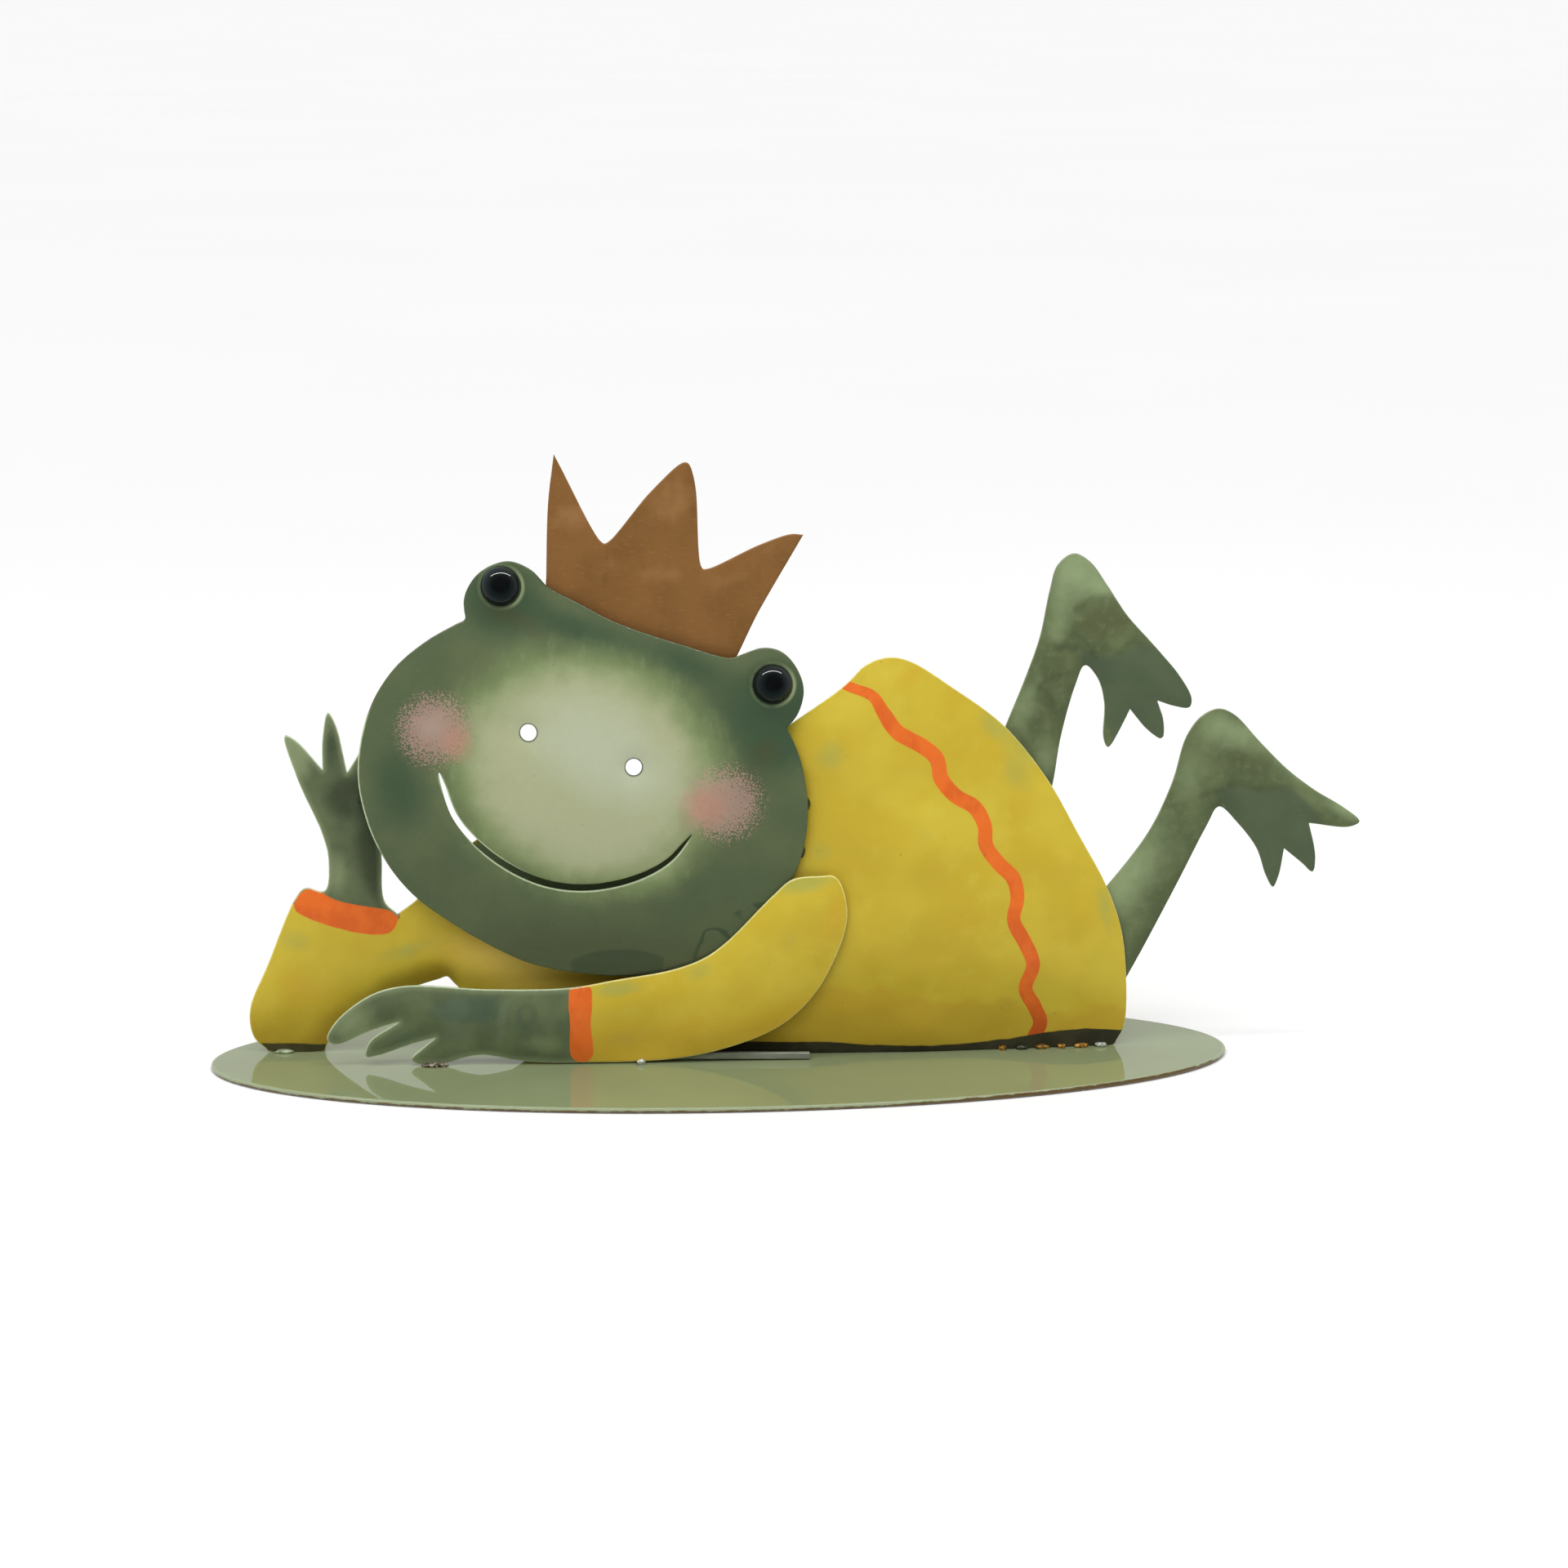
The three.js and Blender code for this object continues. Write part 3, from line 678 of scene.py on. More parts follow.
class Finish:
    """A principled material and the nodes that paint it."""

    def __init__(self, name, **sockets):
        self.material = bpy.data.materials.new(name)
        self.material.use_nodes = True
        self.tree = self.material.node_tree
        self.shader = self.tree.nodes["Principled BSDF"]
        for socket, value in sockets.items():
            self.shader.inputs[socket.replace("_", " ")].default_value = value
        self.place = self.node("TexCoord").outputs["Object"]

    def node(self, kind):
        return self.tree.nodes.new("ShaderNode" + kind)

    def put(self, socket, value):
        """Links a node's output to a socket, or sets it to a number, an (r, g, b) or a linear colour."""
        if isinstance(value, bpy.types.NodeSocket):
            self.tree.links.new(value, socket)
        else:
            painted = isinstance(value, tuple) and len(value) == 3
            socket.default_value = srgb(*value) if painted else value

    def math(self, operation, a, b=0.0):
        node = self.node("Math")
        node.operation = operation
        self.put(node.inputs[0], a)
        self.put(node.inputs[1], b)
        return node.outputs[0]

    def noise(self, size, seed=0.0, detail=3.0, roughness=0.5, stretch=None):
        """Noise from 0 to 1 whose features are about size millimetres across."""
        node = self.node("TexNoise")
        node.noise_dimensions = "4D"
        place = self.place
        if stretch:
            mapping = self.node("Mapping")
            mapping.inputs["Scale"].default_value = stretch
            self.put(mapping.inputs["Vector"], place)
            place = mapping.outputs[0]
        self.put(node.inputs["Vector"], place)
        settings = {"Scale": 1 / (size * MM), "W": seed, "Detail": detail, "Roughness": roughness}
        for socket, value in settings.items():
            node.inputs[socket].default_value = value
        return node.outputs["Fac"]

    def mask(self, name):
        node = self.node("Attribute")
        node.attribute_name = name
        return node.outputs["Fac"]

    def step(self, value, lo, hi, top=1.0):
        """0 below lo and top above hi, or the other way round where lo is the larger."""
        node = self.node("MapRange")
        node.interpolation_type = "SMOOTHSTEP"
        limits = (lo, hi, 0.0, top) if lo <= hi else (hi, lo, top, 0.0)
        self.put(node.inputs["Value"], value)
        for limit, number in zip(("From Min", "From Max", "To Min", "To Max"), limits):
            node.inputs[limit].default_value = number
        return node.outputs[0]

    def mix(self, share, a, b):
        node = self.node("Mix")
        node.data_type = "RGBA"
        self.put(node.inputs[0], share)
        self.put(node.inputs[6], a)
        self.put(node.inputs[7], b)
        return node.outputs[2]

    def over(self, under, mask, lo, hi, top, colour):
        """A colour laid over another: none of it where the mask is lo, a share of top where it is hi."""
        return self.mix(self.step(mask, lo, hi, top), under, colour)

    def contour(self, size, seed, bands):
        """Wavy bands that follow a noise like grain in wood: 0 on each line, 1 between lines."""
        level = self.math("MULTIPLY", self.noise(size, seed, 1.5), bands)
        return self.math("MULTIPLY", self.math("PINGPONG", level, 0.5), 2.0)

    def both(self, a, b):
        return self.math("MULTIPLY", a, b)

    def wobbly(self, name, amount, size, seed, detail=2.0):
        """A mask with its values pushed up and down by noise."""
        push = self.math("MULTIPLY", self.math("SUBTRACT", self.noise(size, seed, detail), 0.5), amount)
        return self.math("ADD", self.mask(name), push)

    def mottled(self, size, seed, first, second, lo=0.35, hi=0.65):
        """Two colours in soft patches about size millimetres across."""
        return self.mix(self.step(self.noise(size, seed), lo, hi), first, second)

    def finish(self, colour, rough=None, bump=None, depth=0.02):
        """Sets the colour, the roughness between two limits, and a fine bump."""
        self.put(self.shader.inputs["Base Color"], colour)
        if rough:
            level = self.math("MULTIPLY_ADD", self.noise(9, 4.2), rough[1] - rough[0])
            level.node.inputs[2].default_value = rough[0]
            self.put(self.shader.inputs["Roughness"], level)
        if bump is not None:
            node = self.node("Bump")
            node.inputs["Strength"].default_value = 1.0
            node.inputs["Distance"].default_value = depth * MM
            self.put(node.inputs["Height"], bump)
            self.tree.links.new(node.outputs[0], self.shader.inputs["Normal"])
        return self.material

    def cut_edge(self, colour, edge_highlight, width=0.25):
        """Painted highlight and wear on the very edge of a sheet, where the cut edge catches the light."""
        wear_and_painted_light = self.step(self.wobbly("rim", 0.35, 2.5, 8.8), width, 0.0, 0.85)
        return self.mix(wear_and_painted_light, colour, edge_highlight)


# light colours of the cut edges: painted highlights
GREEN_EDGE = (196, 210, 172)
YELLOW_EDGE = (232, 224, 150)
ORANGE, ORANGE_DARK = (228, 110, 40), (216, 98, 36)
LACQUER = dict(Coat_Weight=0.3, Coat_Roughness=0.06, Specular_IOR_Level=0.15)


def yellow_ground(f):
    """Brushed yellow enamel with green and amber showing through."""
    colour = f.mottled(24, 2.0, (204, 182, 60), (196, 170, 50))
    colour = f.over(colour, f.noise(7, 3.0), 0.5, 0.75, 0.3, (212, 196, 78))
    colour = f.over(colour, f.noise(5, 6.0), 0.55, 0.8, 0.2, (180, 156, 54))
    colour = f.over(colour, f.wobbly("green", 0.5, 7, 5.0), 0.1, 0.8, 0.65, (160, 164, 82))
    return f.over(colour, f.wobbly("amber", 0.5, 8, 7.0), 0.1, 0.9, 0.5, (206, 160, 44))


def orange_paint(f, under, share):
    brushed = f.noise(1.2, 5.0, 2, stretch=(1.0, 1, 0.3))
    paint = f.mottled(8, 6.0, ORANGE, ORANGE_DARK, 0.4, 0.62)
    return f.mix(share, under, f.mix(f.step(brushed, 0.5, 0.8, 0.3), paint, (232, 128, 62)))


def torso_finish():
    f = Finish("dress_enamel", **LACQUER)
    colour = yellow_ground(f)
    # darker ochre towards the bottom: partly painted shade
    colour = f.over(colour, f.wobbly("low", 16, 11, 9.0, 1), 1.5, -1.5, 0.5, (190, 150, 46))
    colour = orange_paint(f, colour, f.step(f.wobbly("stripe", 0.5, 6, 3.1, 1), 0.15, -0.15))
    # the stripe darker towards the bottom: painted shade
    shade = f.both(f.step(f.mask("stripe"), 0.1, -0.1), f.step(f.mask("low"), 3, -6, 0.6))
    colour = f.mix(shade, colour, (176, 74, 26))
    # a strip of green ground along the bottom, its darkness painted shade
    hem = f.step(f.wobbly("hem", 1.4, 9, 4.0), 0.25, -0.25)
    colour = f.mix(hem, colour, f.mottled(6, 1.0, (47, 45, 34), (61, 58, 42)))
    colour = f.over(colour, f.noise(1.5, 12.0, 0), 0.83, 0.86, 0.5, (120, 108, 50))
    colour = f.cut_edge(colour, YELLOW_EDGE)
    return f.finish(colour, (0.24, 0.36), f.noise(1.4, 1.0, 2))


def painted_palm_reflection(f, colour):
    """Painted reflections on the palm: cloudy bands with wavy lines."""
    bands = f.contour(26, 3.0, 6)
    colour = f.mix(f.both(f.step(bands, 0.5, 0.9, 0.3), f.mask("palm")), colour, (110, 124, 100))
    return f.mix(f.both(f.step(bands, 0.35, 0.0, 0.4), f.mask("palm")), colour, (66, 82, 66))


def arm_finish(name, front):
    f = Finish(name, **LACQUER)
    skin = f.mottled(9, 1.0, (88, 99, 71), (100, 111, 78), 0.35, 0.68)
    skin = f.over(skin, f.noise(3.2, 2.4), 0.55, 0.8, 0.2, (116, 126, 87))
    dark = (72, 92, 74) if front else (58, 66, 48)
    skin = f.over(skin, f.wobbly("dark", 0.4, 7, 3.0), 0.1, 0.9, 0.8, dark)
    skin = f.over(skin, f.wobbly("pale", 0.4, 6, 5.0), 0.1, 0.9, 0.85, (134, 146, 108))
    # painted reflections on the palm
    skin = painted_palm_reflection(f, skin)
    # lighter skin along the edges: painted highlight
    skin = f.over(skin, f.mask("rim"), 2.2, 0.2, 0.35, (148, 162, 124))
    sleeve = yellow_ground(f)
    if front:
        # sleeve darker towards the bottom: painted shade
        sleeve = f.over(sleeve, f.wobbly("low", 12, 12, 2.0), 4, -8, 0.4, (194, 146, 42))
    else:
        # darker along the edge of the arch: painted shade
        sleeve = f.over(sleeve, f.wobbly("arch", 5, 11, 2.0), 9, 2, 0.65, (140, 110, 26))
        # sleeve darker towards the bottom: painted shade
        sleeve = f.over(sleeve, f.wobbly("low", 8, 11, 2.0), 8, -10, 0.6, (160, 126, 36))
        # green paint on the front behind the head, lightened as painted light so the mouth slot before it is
        # not black
        behind = f.both(f.step(f.mask("behind"), 1, -3, 0.95), f.step(f.mask("front"), 0.6, 0.9))
        sleeve = f.mix(behind, sleeve, (150, 166, 130))
        # a painted pool of light under the chin, where the head casts its shadow
        lit = f.both(f.mask("lit"), f.step(f.mask("front"), 0.6, 0.9))
        sleeve = f.mix(lit, sleeve, (240, 208, 92))
        # a strip of green ground along the bottom, its darkness painted shade
        hem = f.step(f.wobbly("hem", 1.6, 7, 4.0), 0.3, -0.3)
        sleeve = f.mix(hem, sleeve, f.mottled(6, 1.0, (62, 60, 36), (78, 72, 44)))
    line = f.step(f.wobbly("hand", 0.4, 5, 1.5), -0.2, 0.2)
    colour = f.mix(line, skin, sleeve)
    colour = orange_paint(f, colour, f.step(f.wobbly("cuff", 0.5, 4, 2.5, 1), 0.12, -0.12))
    colour = f.cut_edge(colour, f.mix(line, GREEN_EDGE, YELLOW_EDGE), 0.5)
    return f.finish(colour, (0.2, 0.34), f.noise(1.4, 1.0, 2))


def leg_finish():
    f = Finish("skin_enamel", **LACQUER)
    colour = f.mottled(11, 1.0, (88, 100, 68), (102, 114, 78), 0.35, 0.68)
    colour = f.over(colour, f.noise(3, 2.4), 0.5, 0.8, 0.3, (120, 132, 92))
    # one side of the shin darker: painted shade
    colour = f.over(colour, f.wobbly("shin_edge", 4, 8, 2.0), 8, 0.5, 0.85, (72, 84, 58))
    colour = f.over(colour, f.wobbly("brown", 0.4, 5, 6.0), 0.0, 1.0, 0.75, (86, 90, 61))
    # pale: painted highlights at heel, ankle and shin, and pale paint
    colour = f.over(colour, f.wobbly("pale", 0.45, 4, 5.0), 0.0, 1.1, 0.85, (146, 162, 120))
    bands = f.contour(15, 5.0, 6)
    cloudy = f.both(f.mask("clouds"), f.step(bands, 0.8, 0.0, 0.35))
    colour = f.mix(cloudy, colour, (66, 72, 46))
    colour = f.over(colour, f.noise(2.0, 9.0, 4, 0.6), 0.5, 0.75, 0.3, (126, 138, 98))
    foot = f.step(f.wobbly("foot", 2.5, 6, 4.0), 0.8, -1.6, 0.92)
    blued = f.mottled(16, 3.0, (76, 90, 67), (85, 97, 72), 0.3, 0.7)
    colour = f.mix(foot, colour, blued)
    broken = f.step(f.noise(6, 8.0), 0.35, 0.6)
    # dark creases: painted shade in the pressed grooves
    crease = f.both(f.step(f.wobbly("crease", 2.2, 5, 7.0), 2.2, 0.0, 0.4), broken)
    colour = f.mix(crease, colour, (64, 70, 46))
    colour = f.cut_edge(colour, (140, 154, 118), 0.3)
    return f.finish(colour, (0.22, 0.36), f.noise(1.4, 1.0, 2))


def head_finish():
    f = Finish("face_enamel", **LACQUER)
    colour = f.mottled(18, 1.0, (84, 97, 68), (92, 103, 72))
    colour = f.over(colour, f.wobbly("chin", 0.25, 14, 3.0), 0.1, 0.9, 0.85, (82, 89, 64))
    colour = f.over(colour, f.wobbly("teal", 0.25, 10, 2.0), 0.1, 0.9, 0.85, (58, 80, 58))
    colour = f.over(colour, f.wobbly("glow", 0.35, 9, 4.0), 0.0, 0.6, 0.85, (126, 142, 94))
    colour = f.over(colour, f.wobbly("glow", 0.4, 7, 5.0), 0.3, 1.0, 0.95, (170, 174, 138))
    colour = f.over(colour, f.wobbly("pale", 0.3, 8, 6.0), 0.2, 0.95, 0.75, (180, 188, 164))
    brushed = f.step(f.noise(4.5, 21.0, 4, 0.6, stretch=(1.5, 1, 0.5)), 0.5, 0.72, 0.3)
    border = f.both(f.step(f.mask("glow"), 0.02, 0.3), f.step(f.mask("glow"), 0.95, 0.5))
    colour = f.mix(f.both(brushed, border), colour, (142, 162, 112))
    colour = f.over(colour, f.wobbly("brown", 0.35, 6, 7.0), 0.1, 0.9, 0.6, (76, 78, 52))
    grain = f.wobbly("cheek", 2.4, 0.5, 11.0, 1)
    spray = f.both(f.step(grain, 0.36, 0.72, 0.6), f.step(f.mask("cheek"), 0.03, 0.35))
    colour = f.mix(spray, colour, (184, 146, 137))
    rouge = f.both(f.step(f.wobbly("rouge", 0.5, 3, 13.0), 0.1, 0.95, 0.45), f.mask("front"))
    colour = f.mix(rouge, colour, (186, 124, 108))
    # a lighter ring painted round each eye, brighter on one side as a painted highlight
    around = f.both(f.step(f.mask("socket"), 6.0, 6.4), f.step(f.mask("socket"), 7.6, 6.5, 0.75))
    light = f.math("MULTIPLY_ADD", f.mask("socket_light"), 0.75)
    light.node.inputs[2].default_value = 0.25
    colour = f.mix(f.both(around, light), colour, (170, 184, 138))
    colour = f.over(colour, f.mask("patch"), 0.4, -0.4, 0.6, (60, 73, 54))
    leaf = f.both(f.step(f.mask("leaf"), 0.4, -0.6), f.step(f.contour(16, 2.0, 8), 0.5, 0.05, 0.7))
    colour = f.mix(leaf, colour, (54, 68, 52))
    colour = f.over(colour, f.noise(1.1, 15.0, 0), 0.82, 0.86, 0.4, (96, 100, 70))
    colour = f.over(colour, f.mask("front"), 0.4, 0.1, 0.93, (82, 98, 70))
    rim = f.step(f.wobbly("rim", 0.3, 2.5, 8.8), 0.6, 0.1, 0.95)
    colour = f.mix(f.both(rim, f.mask("lit_edge")), colour, GREEN_EDGE)
    colour = f.mix(f.both(rim, f.step(f.mask("dark_edge"), 3.5, 1.5, 0.9)), colour, (44, 60, 44))
    return f.finish(colour, (0.2, 0.34), f.noise(1.5, 1.0, 2))


def crown_finish():
    f = Finish("crown_copper", Metallic=0.1, Specular_IOR_Level=0.15, Coat_Weight=0.05, Coat_Roughness=0.3)
    colour = f.mottled(15, 1.0, (124, 87, 44), (136, 95, 50))
    streak = f.noise(3.5, 2.0, 4, 0.6, stretch=(1.2, 1, 0.35))
    colour = f.over(colour, streak, 0.5, 0.8, 0.4, (118, 80, 42))
    # lighter patches: painted highlights
    colour = f.over(colour, f.wobbly("pale", 0.8, 5, 3.0), 0.15, 0.95, 0.6, (170, 126, 80))
    fine = f.noise(0.8, 7.0, 2, 0.6, stretch=(0.35, 1, 1.4))
    colour = f.over(colour, fine, 0.54, 0.75, 0.4, (162, 116, 70))
    colour = f.cut_edge(colour, (160, 122, 84), 0.15)
    return f.finish(colour, (0.38, 0.55), fine, 0.03)


def base_finish():
    f = Finish("base_lacquer", Coat_Weight=0.78, Coat_Roughness=0.02, Specular_IOR_Level=0.0)
    colour = f.mottled(60, 1.0, (134, 145, 108), (140, 151, 112))
    colour = f.over(colour, f.noise(12, 3.0), 0.5, 0.8, 0.2, (140, 154, 122))
    # a lighter band on top of the rolled edge: painted highlight
    colour = f.over(colour, f.wobbly("lip", 1.6, 5, 4.0), 1.1, 0.5, 0.5, (168, 178, 148))
    # brown wear on the rim, and on its underside painted shade
    wear_and_painted_light = f.step(f.wobbly("wear_and_painted_light", 0.9, 3, 9.0), 0.55, 0.85, 0.95)
    colour = f.mix(wear_and_painted_light, colour, (92, 70, 34))
    colour = f.over(colour, f.wobbly("smear", 0.5, 2, 3.3), 0.4, 0.8, 0.6, (206, 208, 196))
    return f.finish(colour, (0.1, 0.2), f.noise(3, 1.0, 2), 0.004)


def eye_finish():
    f = Finish("eye_black", Roughness=0.03, Specular_IOR_Level=0.3)
    colour = f.mottled(4, 1.0, (4, 5, 6), (9, 11, 12), 0.3, 0.7)
    ring = f.both(f.step(f.wobbly("ring", 0.2, 3, 2.0), 0.35, 0.6), f.step(f.mask("ring"), 1.1, 0.9))
    colour = f.mix(ring, colour, (14, 24, 24))
    return f.finish(colour, None, f.noise(2.5, 2.0), 0.003)


def steel_finish():
    f = Finish("bar_steel", Metallic=0.5)
    drawn = f.step(f.noise(4, 1.0, stretch=(0.3, 1, 1)), 0.35, 0.7)
    colour = f.mix(drawn, (132, 136, 124), (168, 172, 160))
    colour = f.over(colour, f.noise(1.5, 5.0), 0.62, 0.8, 0.5, (96, 84, 60))
    return f.finish(colour, (0.3, 0.5), f.noise(0.8, 3.0), 0.02)


def weld_finish(name, first, second):
    f = Finish(name, Metallic=0.35)
    colour = f.mottled(0.9, 1.0, first, second)
    return f.finish(colour, (0.35, 0.6), f.noise(0.4, 3.0), 0.05)


# ------------------------ the solid pieces


def ring_faces(rings, sides):
    """Faces that join rings of points, with one point before the first and one after the last."""
    faces = [(0, 1 + k, 1 + (k + 1) % sides) for k in range(sides)]
    for r in range(rings - 1):
        for k in range(sides):
            a, b = 1 + r * sides + k, 1 + r * sides + (k + 1) % sides
            faces.append((a, a + sides, b + sides, b))
    tail = 1 + (rings - 1) * sides
    last = tail + sides
    return faces + [(last, tail + (k + 1) % sides, tail + k) for k in range(sides)]


def add_base(material):
    """The oval plate with a rolled edge: rings of points from the middle of one face to the other."""
    lo, hi = [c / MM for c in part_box("base_plate")]
    half = (hi - lo) / 2
    top, sides = hi.z, 240
    shares = [0.15, 0.3, 0.45, 0.6, 0.72, 0.82, 0.9, 0.95]
    rings = [(share, 0.0, top) for share in shares]
    rings += [(1, -1.2, top), (1, -0.8, top), (1, -0.45, top - 0.03), (1, -0.15, top - 0.18)]
    rings += [(1, 0, top - 0.45), (1, 0, 0.5), (1, -0.15, 0.2), (1, -0.45, 0.04), (1, -0.8, 0.0)]
    rings += [(share, 0.0, 0.0) for share in reversed(shares)]
    verts, lip = [(0, 0, top)], [FAR]
    for share, cut, z in rings:
        for k in range(sides):
            a = 2 * math.pi * k / sides
            verts.append(((half.x * share + cut) * math.cos(a), (half.y * share + cut) * math.sin(a), z))
            lip.append(FAR if share < 1 else -cut)
    verts.append((0, 0, 0))
    lip.append(FAR)
    faces = ring_faces(len(rings), sides)
    piece = add_piece("base_plate_disc", verts, faces, "base_plate", material)
    p = np.array(verts)
    at_rim = np.array(lip) < 0.9
    front_right = smoothstep(p[:, 0], 20, 110) * smoothstep(-p[:, 1], 5, 30)
    # under: the underside of the rolled edge, darkened as painted shade
    under = np.where(p[:, 2] < 0.55, 0.55, 0.0) * at_rim
    set_masks(piece, {
        # lip: distance in from the rim, for the painted highlight on the rolled edge
        "lip": lip,
        # brown wear towards the front right, and painted shade under the rim
        "wear_and_painted_light": at_rim * (0.55 * front_right + 0.3) * (p[:, 2] < top - 0.1) + under,
        "smear": spot(p[:, :2], (-137, -2), (6, 4)) * (p[:, 2] > top - 0.1),
    })


def add_eye(node, material):
    """A glass bead seated on the head: a lathe around the axis of its CAD node."""
    bm = cad_mesh(node)
    back = [f for f in bm.faces if f.normal.y > 0.8]
    axis = -sum((f.normal * f.calc_area() for f in back), Vector()).normalized()
    ring = dict.fromkeys(v for f in back for v in f.verts)  # unlike a set, always in one order
    foot = sum((v.co for v in ring), Vector()) / len(ring) / MM
    reach = [v.co / MM - foot for v in bm.verts]
    bm.free()
    height = max(r.dot(axis) for r in reach)
    radius = max((r - axis * r.dot(axis)).length for r in reach)
    u = axis.cross(Vector((0, 0, 1))).normalized()
    w = axis.cross(u)
    seat = -0.7  # the bead's skirt reaches back to the dented sheet
    profile = [(radius * 0.97, seat), (radius, seat * 0.4), (radius, 0.0)]
    rows = 18
    for k in range(1, rows):
        a = math.pi / 2 * k / rows
        profile.append((radius * math.cos(a), height * math.sin(a)))
    sides = 56
    verts = [tuple(foot + axis * seat)]
    for r, h in profile:
        for k in range(sides):
            a = 2 * math.pi * k / sides
            verts.append(tuple(foot + axis * h + (u * math.cos(a) + w * math.sin(a)) * r))
    verts.append(tuple(foot + axis * height))
    faces = [(f[0], *f[:0:-1]) for f in ring_faces(len(profile), sides)]  # turned to face outwards
    piece = add_piece(node + "_bead", verts, faces, node, material)
    middle = foot + Vector((0.04, 0, 0.16)) * radius  # the dark middle sits a little high
    off = [Vector(v) - middle for v in verts]
    set_masks(piece, {"ring": [(o - axis * o.dot(axis)).length / radius for o in off]})


def reach_forward(verts, faces, middle, trees, bite=0.6, limit=3.0):
    """Stretches a tack's front half into the sheet before it, which swells away from the tack."""
    bead = BVHTree.FromPolygons(verts, faces)
    gaps = []
    for tree in trees:
        if not tree.overlap(bead):
            place, _, _, gap = min((tree.find_nearest(v) for v in verts[::4]), key=lambda hit: hit[3])
            if place.y < middle:
                gaps.append(gap)
    if not gaps or min(gaps) > limit:
        return verts
    depth = middle - min(v[1] for v in verts)
    longer = 1 + (min(gaps) + bite) / depth
    return [(x, middle - (middle - y) * longer if y < middle else y, z) for x, y, z in verts]


def add_weld(node, material, seed, grow, trees):
    """A lumpy bead of weld metal that reaches into the pieces on both sides of its CAD node."""
    lo, hi = [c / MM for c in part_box(node)]
    centre, half = (lo + hi) / 2, (hi - lo) / 2
    bm = bmesh.new()
    bmesh.ops.create_icosphere(bm, subdivisions=4, radius=1.0)
    verts = []
    for v in bm.verts:
        lump = noise.noise(v.co * 1.6 + Vector((seed, 0, 0)))
        fine = noise.noise(v.co * 5.0 + Vector((0, seed, 0)))
        size = 1 + 0.22 * lump + 0.06 * fine
        out = [v.co[i] * size * (half[i] * grow[i] + WELD_REACH * (i == 1)) for i in range(3)]
        verts.append([centre[i] + out[i] for i in range(3)])
    faces = [[v.index for v in f.verts] for f in bm.faces]
    bm.free()
    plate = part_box("base_plate")[1].z / MM
    if lo.z > 2 * plate:
        verts = reach_forward([tuple(v) for v in verts], faces, centre.y, trees)
    else:  # a bead on the base plate sags onto it
        sunk = [z - WELD_REACH - 0.7 * max(0, centre.z - z) for _, _, z in verts]
        verts = [(x, y, max(z, plate - 0.05)) for (x, y, _), z in zip(verts, sunk)]
    add_piece(node + "_bead", verts, faces, node, material)


def add_bar(material):
    """The sawn square bar, its edges softened and its faces a little uneven."""
    bm = cad_mesh("arm_foot_bar")
    bmesh.ops.dissolve_limit(bm, angle_limit=0.01, verts=bm.verts, edges=bm.edges)
    bmesh.ops.bevel(bm, geom=bm.edges[:], offset=0.22 * MM, segments=3, affect="EDGES", profile=0.5)
    long_edges = [e for e in bm.edges if e.calc_length() > 20 * MM]
    bmesh.ops.subdivide_edges(bm, edges=long_edges, cuts=40, use_grid_fill=True)
    # the bevel numbers its points differently on each run, so points and faces are sorted
    corners = sorted(bm.verts, key=lambda v: tuple(v.co))
    place = {v: i for i, v in enumerate(corners)}
    verts = []
    for v in corners:
        c = v.co / MM
        sway = noise.noise(Vector((c.x * 0.12, c.y, c.z))) * 0.07
        verts.append((c.x, c.y + sway, c.z + sway * 0.6))
    faces = [[place[v] for v in f.verts] for f in bm.faces]
    faces = sorted(f[f.index(min(f)) :] + f[: f.index(min(f))] for f in faces)
    bm.free()
    add_piece("arm_foot_bar_sawn", verts, faces, "arm_foot_bar", material)


# ------------------------ build the object

add_base(base_finish())
add_sheet("torso_shell", torso_finish(), 1.3)
add_sheet("propping_arm", arm_finish("propping_arm_enamel", False), 2.1)
add_sheet("front_arm", arm_finish("front_arm_enamel", True), 3.7)
skin_enamel = leg_finish()
add_sheet("near_leg", skin_enamel, 4.9)
add_sheet("far_leg", skin_enamel, 5.3)
add_sheet("head_panel", head_finish(), 6.1)
add_sheet("crown", crown_finish(), 7.7)
eye_black = eye_finish()
for eye_node in ("left_eye", "right_eye"):
    add_eye(eye_node, eye_black)
add_bar(steel_finish())

BROWN_WELD = weld_finish("weld_browned", (52, 42, 28), (204, 148, 48))
PALE_WELD = weld_finish("weld_bare", (150, 156, 142), (206, 210, 198))
DARK_WELD = weld_finish("weld_painted", (44, 50, 38), (70, 74, 52))
YELLOW_WELD = weld_finish("weld_yellow", (180, 160, 60), (206, 188, 84))
WELD_PAINT = {
    "seat_weld_2": DARK_WELD,
    "seat_weld_6": PALE_WELD,
    # dark weld with pale flecks, the flecks a painted glint
    "finger_weld": weld_finish("weld_rust_and_painted_glint", (46, 42, 32), (168, 156, 134)),
    "sleeve_weld": PALE_WELD,
    "elbow_weld": weld_finish("weld_green", (128, 140, 108), (160, 172, 142)),
    "sleeve_to_shoulder_tack": YELLOW_WELD,
}
sheet_trees = [search_tree([bpy.data.objects[name + "_sheet"].data]) for name in SHEETS]
for number, weld_node in enumerate(sorted(WELDS)):
    seat = "seat" in weld_node
    default = BROWN_WELD if seat else DARK_WELD
    grow = (0.85 + 0.25 * math.sin(2.3 * number), 1.0, 0.75) if seat else (1.15, 1.0, 1.15)
    add_weld(weld_node, WELD_PAINT.get(weld_node, default), 1.7 * number, grow, sheet_trees)

# ------------------------ floor, light and camera


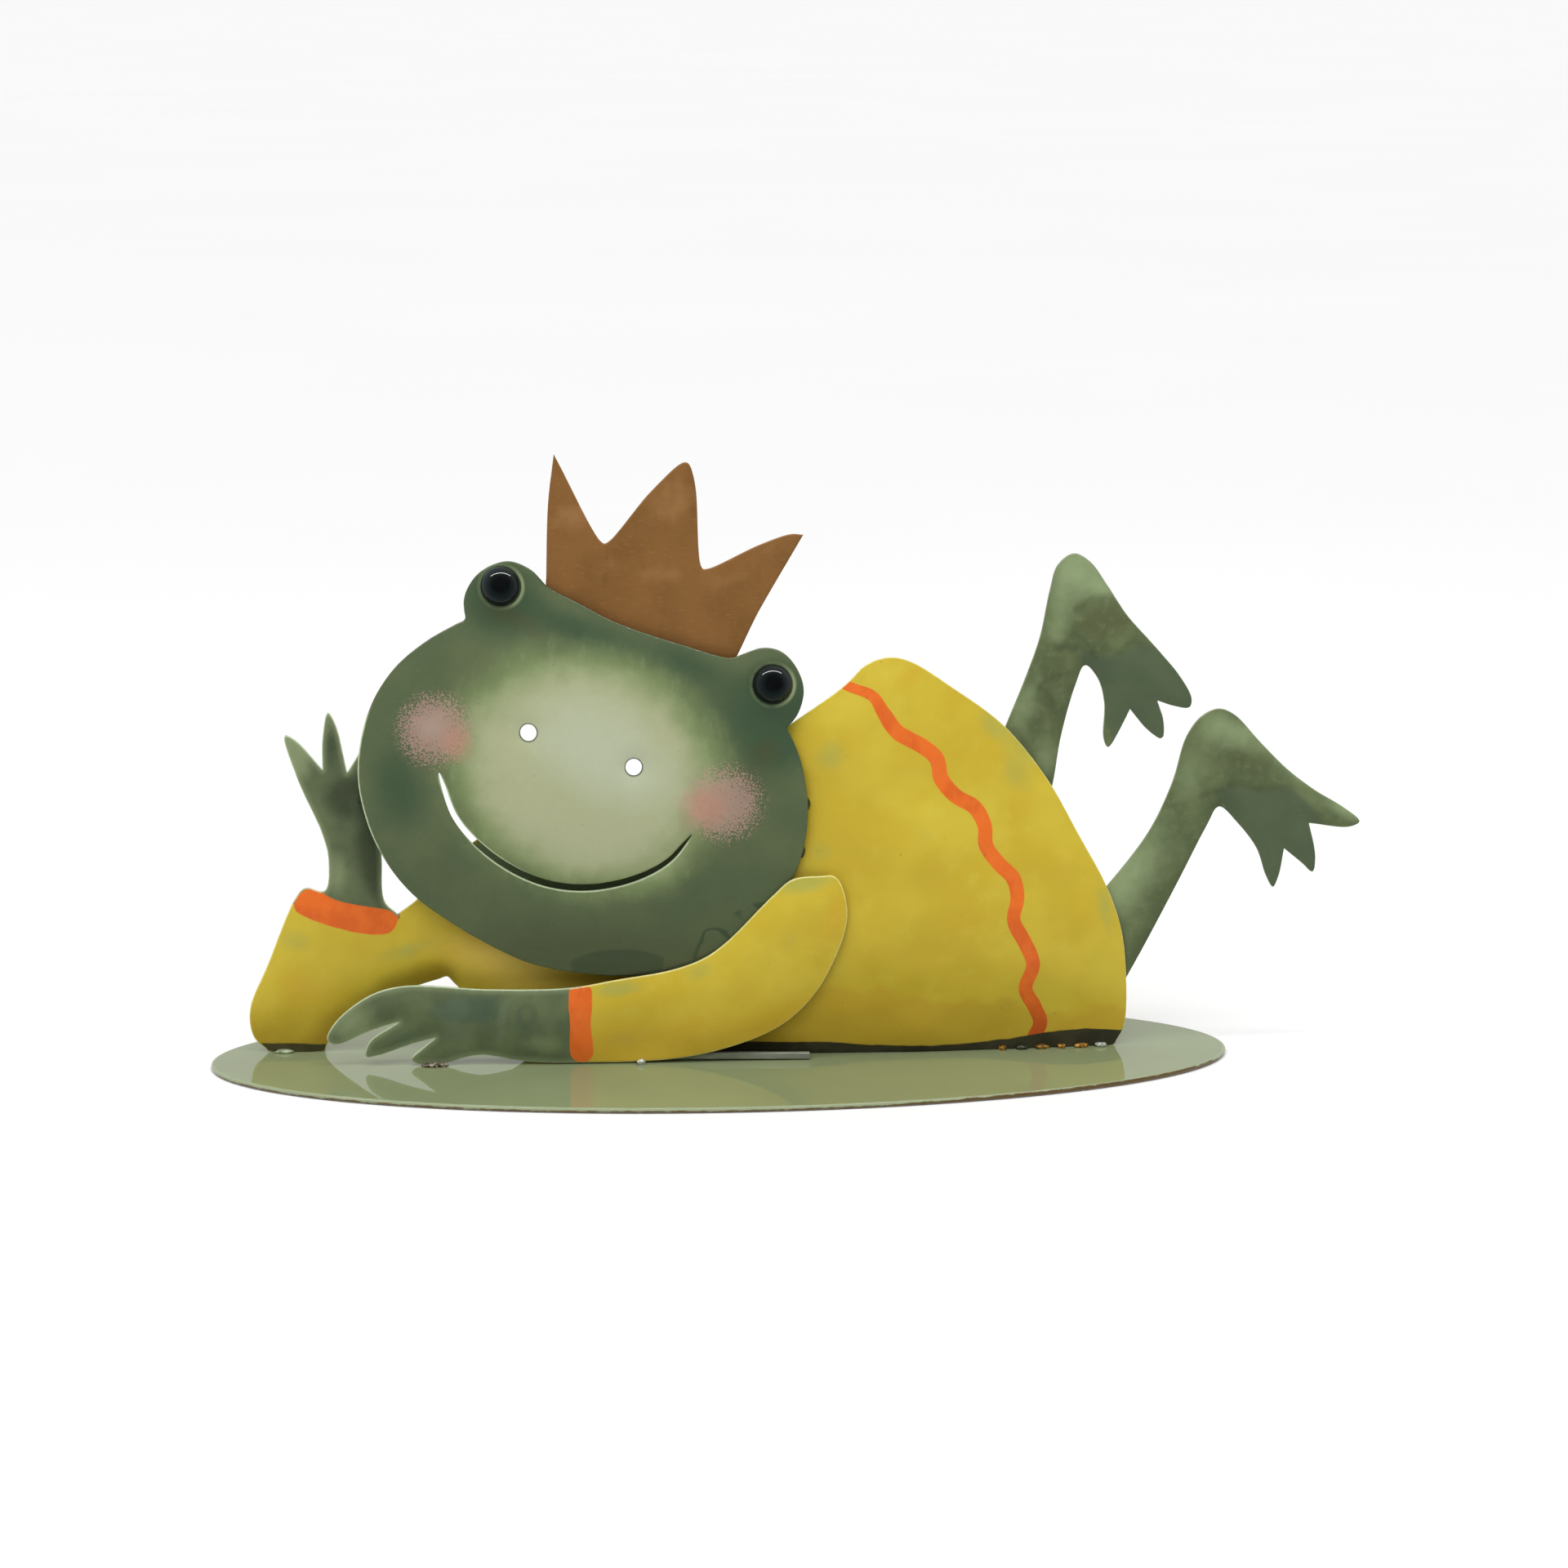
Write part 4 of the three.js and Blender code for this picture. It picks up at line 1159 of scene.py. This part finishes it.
def add_floor():
    size, drop = 60.0, -0.0002
    mesh = bpy.data.meshes.new("floor")
    corners = [(-size, -size, drop), (size, -size, drop), (size, size, drop), (-size, size, drop)]
    mesh.from_pydata(corners, [], [(0, 1, 2, 3)])
    f = Finish("floor_paper", Roughness=0.9, Specular_IOR_Level=0.0)
    paper = f.mix(f.step(f.noise(400, 1.0), 0.3, 0.7), (0.96, 0.96, 0.96, 1), (0.97, 0.97, 0.97, 1))
    mesh.materials.append(f.finish(paper))
    floor = bpy.data.objects.new("floor", mesh)
    floor.visible_glossy = False  # the gloss mirrors the even tent, not the floor's horizon
    bpy.context.scene.collection.objects.link(floor)


def aimed(name, data, place, direction):
    """A lamp or camera at a place, looking in a direction."""
    thing = bpy.data.objects.new(name, data)
    thing.location = place
    thing.rotation_mode = "QUATERNION"
    thing.rotation_quaternion = Vector(direction).to_track_quat("-Z", "Y")
    bpy.context.scene.collection.objects.link(thing)
    return thing


def add_area(name, place, aim, size, power, gloss_only=False):
    """A strip lamp; one that is for gloss only gives highlights and lights nothing else."""
    light = bpy.data.lights.new(name, "AREA")
    light.shape = "RECTANGLE"
    light.size, light.size_y = size
    light.energy = power
    lamp = aimed(name, light, place, Vector(aim) - Vector(place))
    lamp.visible_diffuse = not gloss_only


def add_sun(name, energy, spread_degrees, direction):
    """A soft light from far away; it gives no highlights of its own."""
    light = bpy.data.lights.new(name, "SUN")
    light.energy = energy
    light.angle = math.radians(spread_degrees)
    aimed(name, light, (0, 0, 0), direction).visible_glossy = False


def add_world():
    """A white tent that gives less light from the front; seen directly it is an even pale backdrop."""
    world = bpy.data.worlds.new("tent")
    bpy.context.scene.world = world
    world.use_nodes = True
    nodes, link = world.node_tree.nodes, world.node_tree.links.new
    split = nodes.new("ShaderNodeSeparateXYZ")
    link(nodes.new("ShaderNodeTexCoord").outputs["Generated"], split.inputs[0])
    ramp = nodes.new("ShaderNodeMapRange")
    ramp.interpolation_type = "SMOOTHSTEP"
    link(split.outputs["Y"], ramp.inputs["Value"])
    for limit, value in {"From Min": -0.9, "From Max": 0.2, "To Min": 0.12, "To Max": 0.8}.items():
        ramp.inputs[limit].default_value = value
    tent = nodes["Background"]
    tent.inputs["Color"].default_value = (1.0, 1.0, 1.0, 1)
    link(ramp.outputs[0], tent.inputs["Strength"])
    backdrop = nodes.new("ShaderNodeBackground")
    backdrop.inputs["Color"].default_value = (0.97, 0.97, 0.97, 1)
    seen = nodes.new("ShaderNodeMixShader")
    link(nodes.new("ShaderNodeLightPath").outputs["Is Camera Ray"], seen.inputs[0])
    link(tent.outputs[0], seen.inputs[1])
    link(backdrop.outputs[0], seen.inputs[2])
    link(seen.outputs[0], nodes["World Output"].inputs["Surface"])


def add_camera():
    azimuth, elevation, distance = math.radians(-4.3), math.radians(11), 1.3
    target = Vector((0.0192, 0, 0.086))
    back = Vector((
        math.sin(azimuth) * math.cos(elevation),
        -math.cos(azimuth) * math.cos(elevation),
        math.sin(elevation),
    ))
    camera = aimed("camera", bpy.data.cameras.new("camera"), target + back * distance, -back)
    camera.data.sensor_width = 36
    camera.data.lens = 97.5
    bpy.context.scene.camera = camera


add_floor()
add_world()
add_sun("key", 1.38, 60, (0.1, 0.62, -0.78))
add_sun("fill", 0.38, 90, (0.0, 0.97, -0.22))
add_area("top_strip", (-0.1, -0.25, 1.0), (-0.1, 0, 0.1), (1.7, 0.04), 3.0)
add_area("gloss_strip", (-0.1, -0.27, 1.0), (-0.1, 0, 0.1), (1.7, 0.06), 9.0, gloss_only=True)
bpy.context.scene.view_settings.view_transform = "Standard"
add_camera()
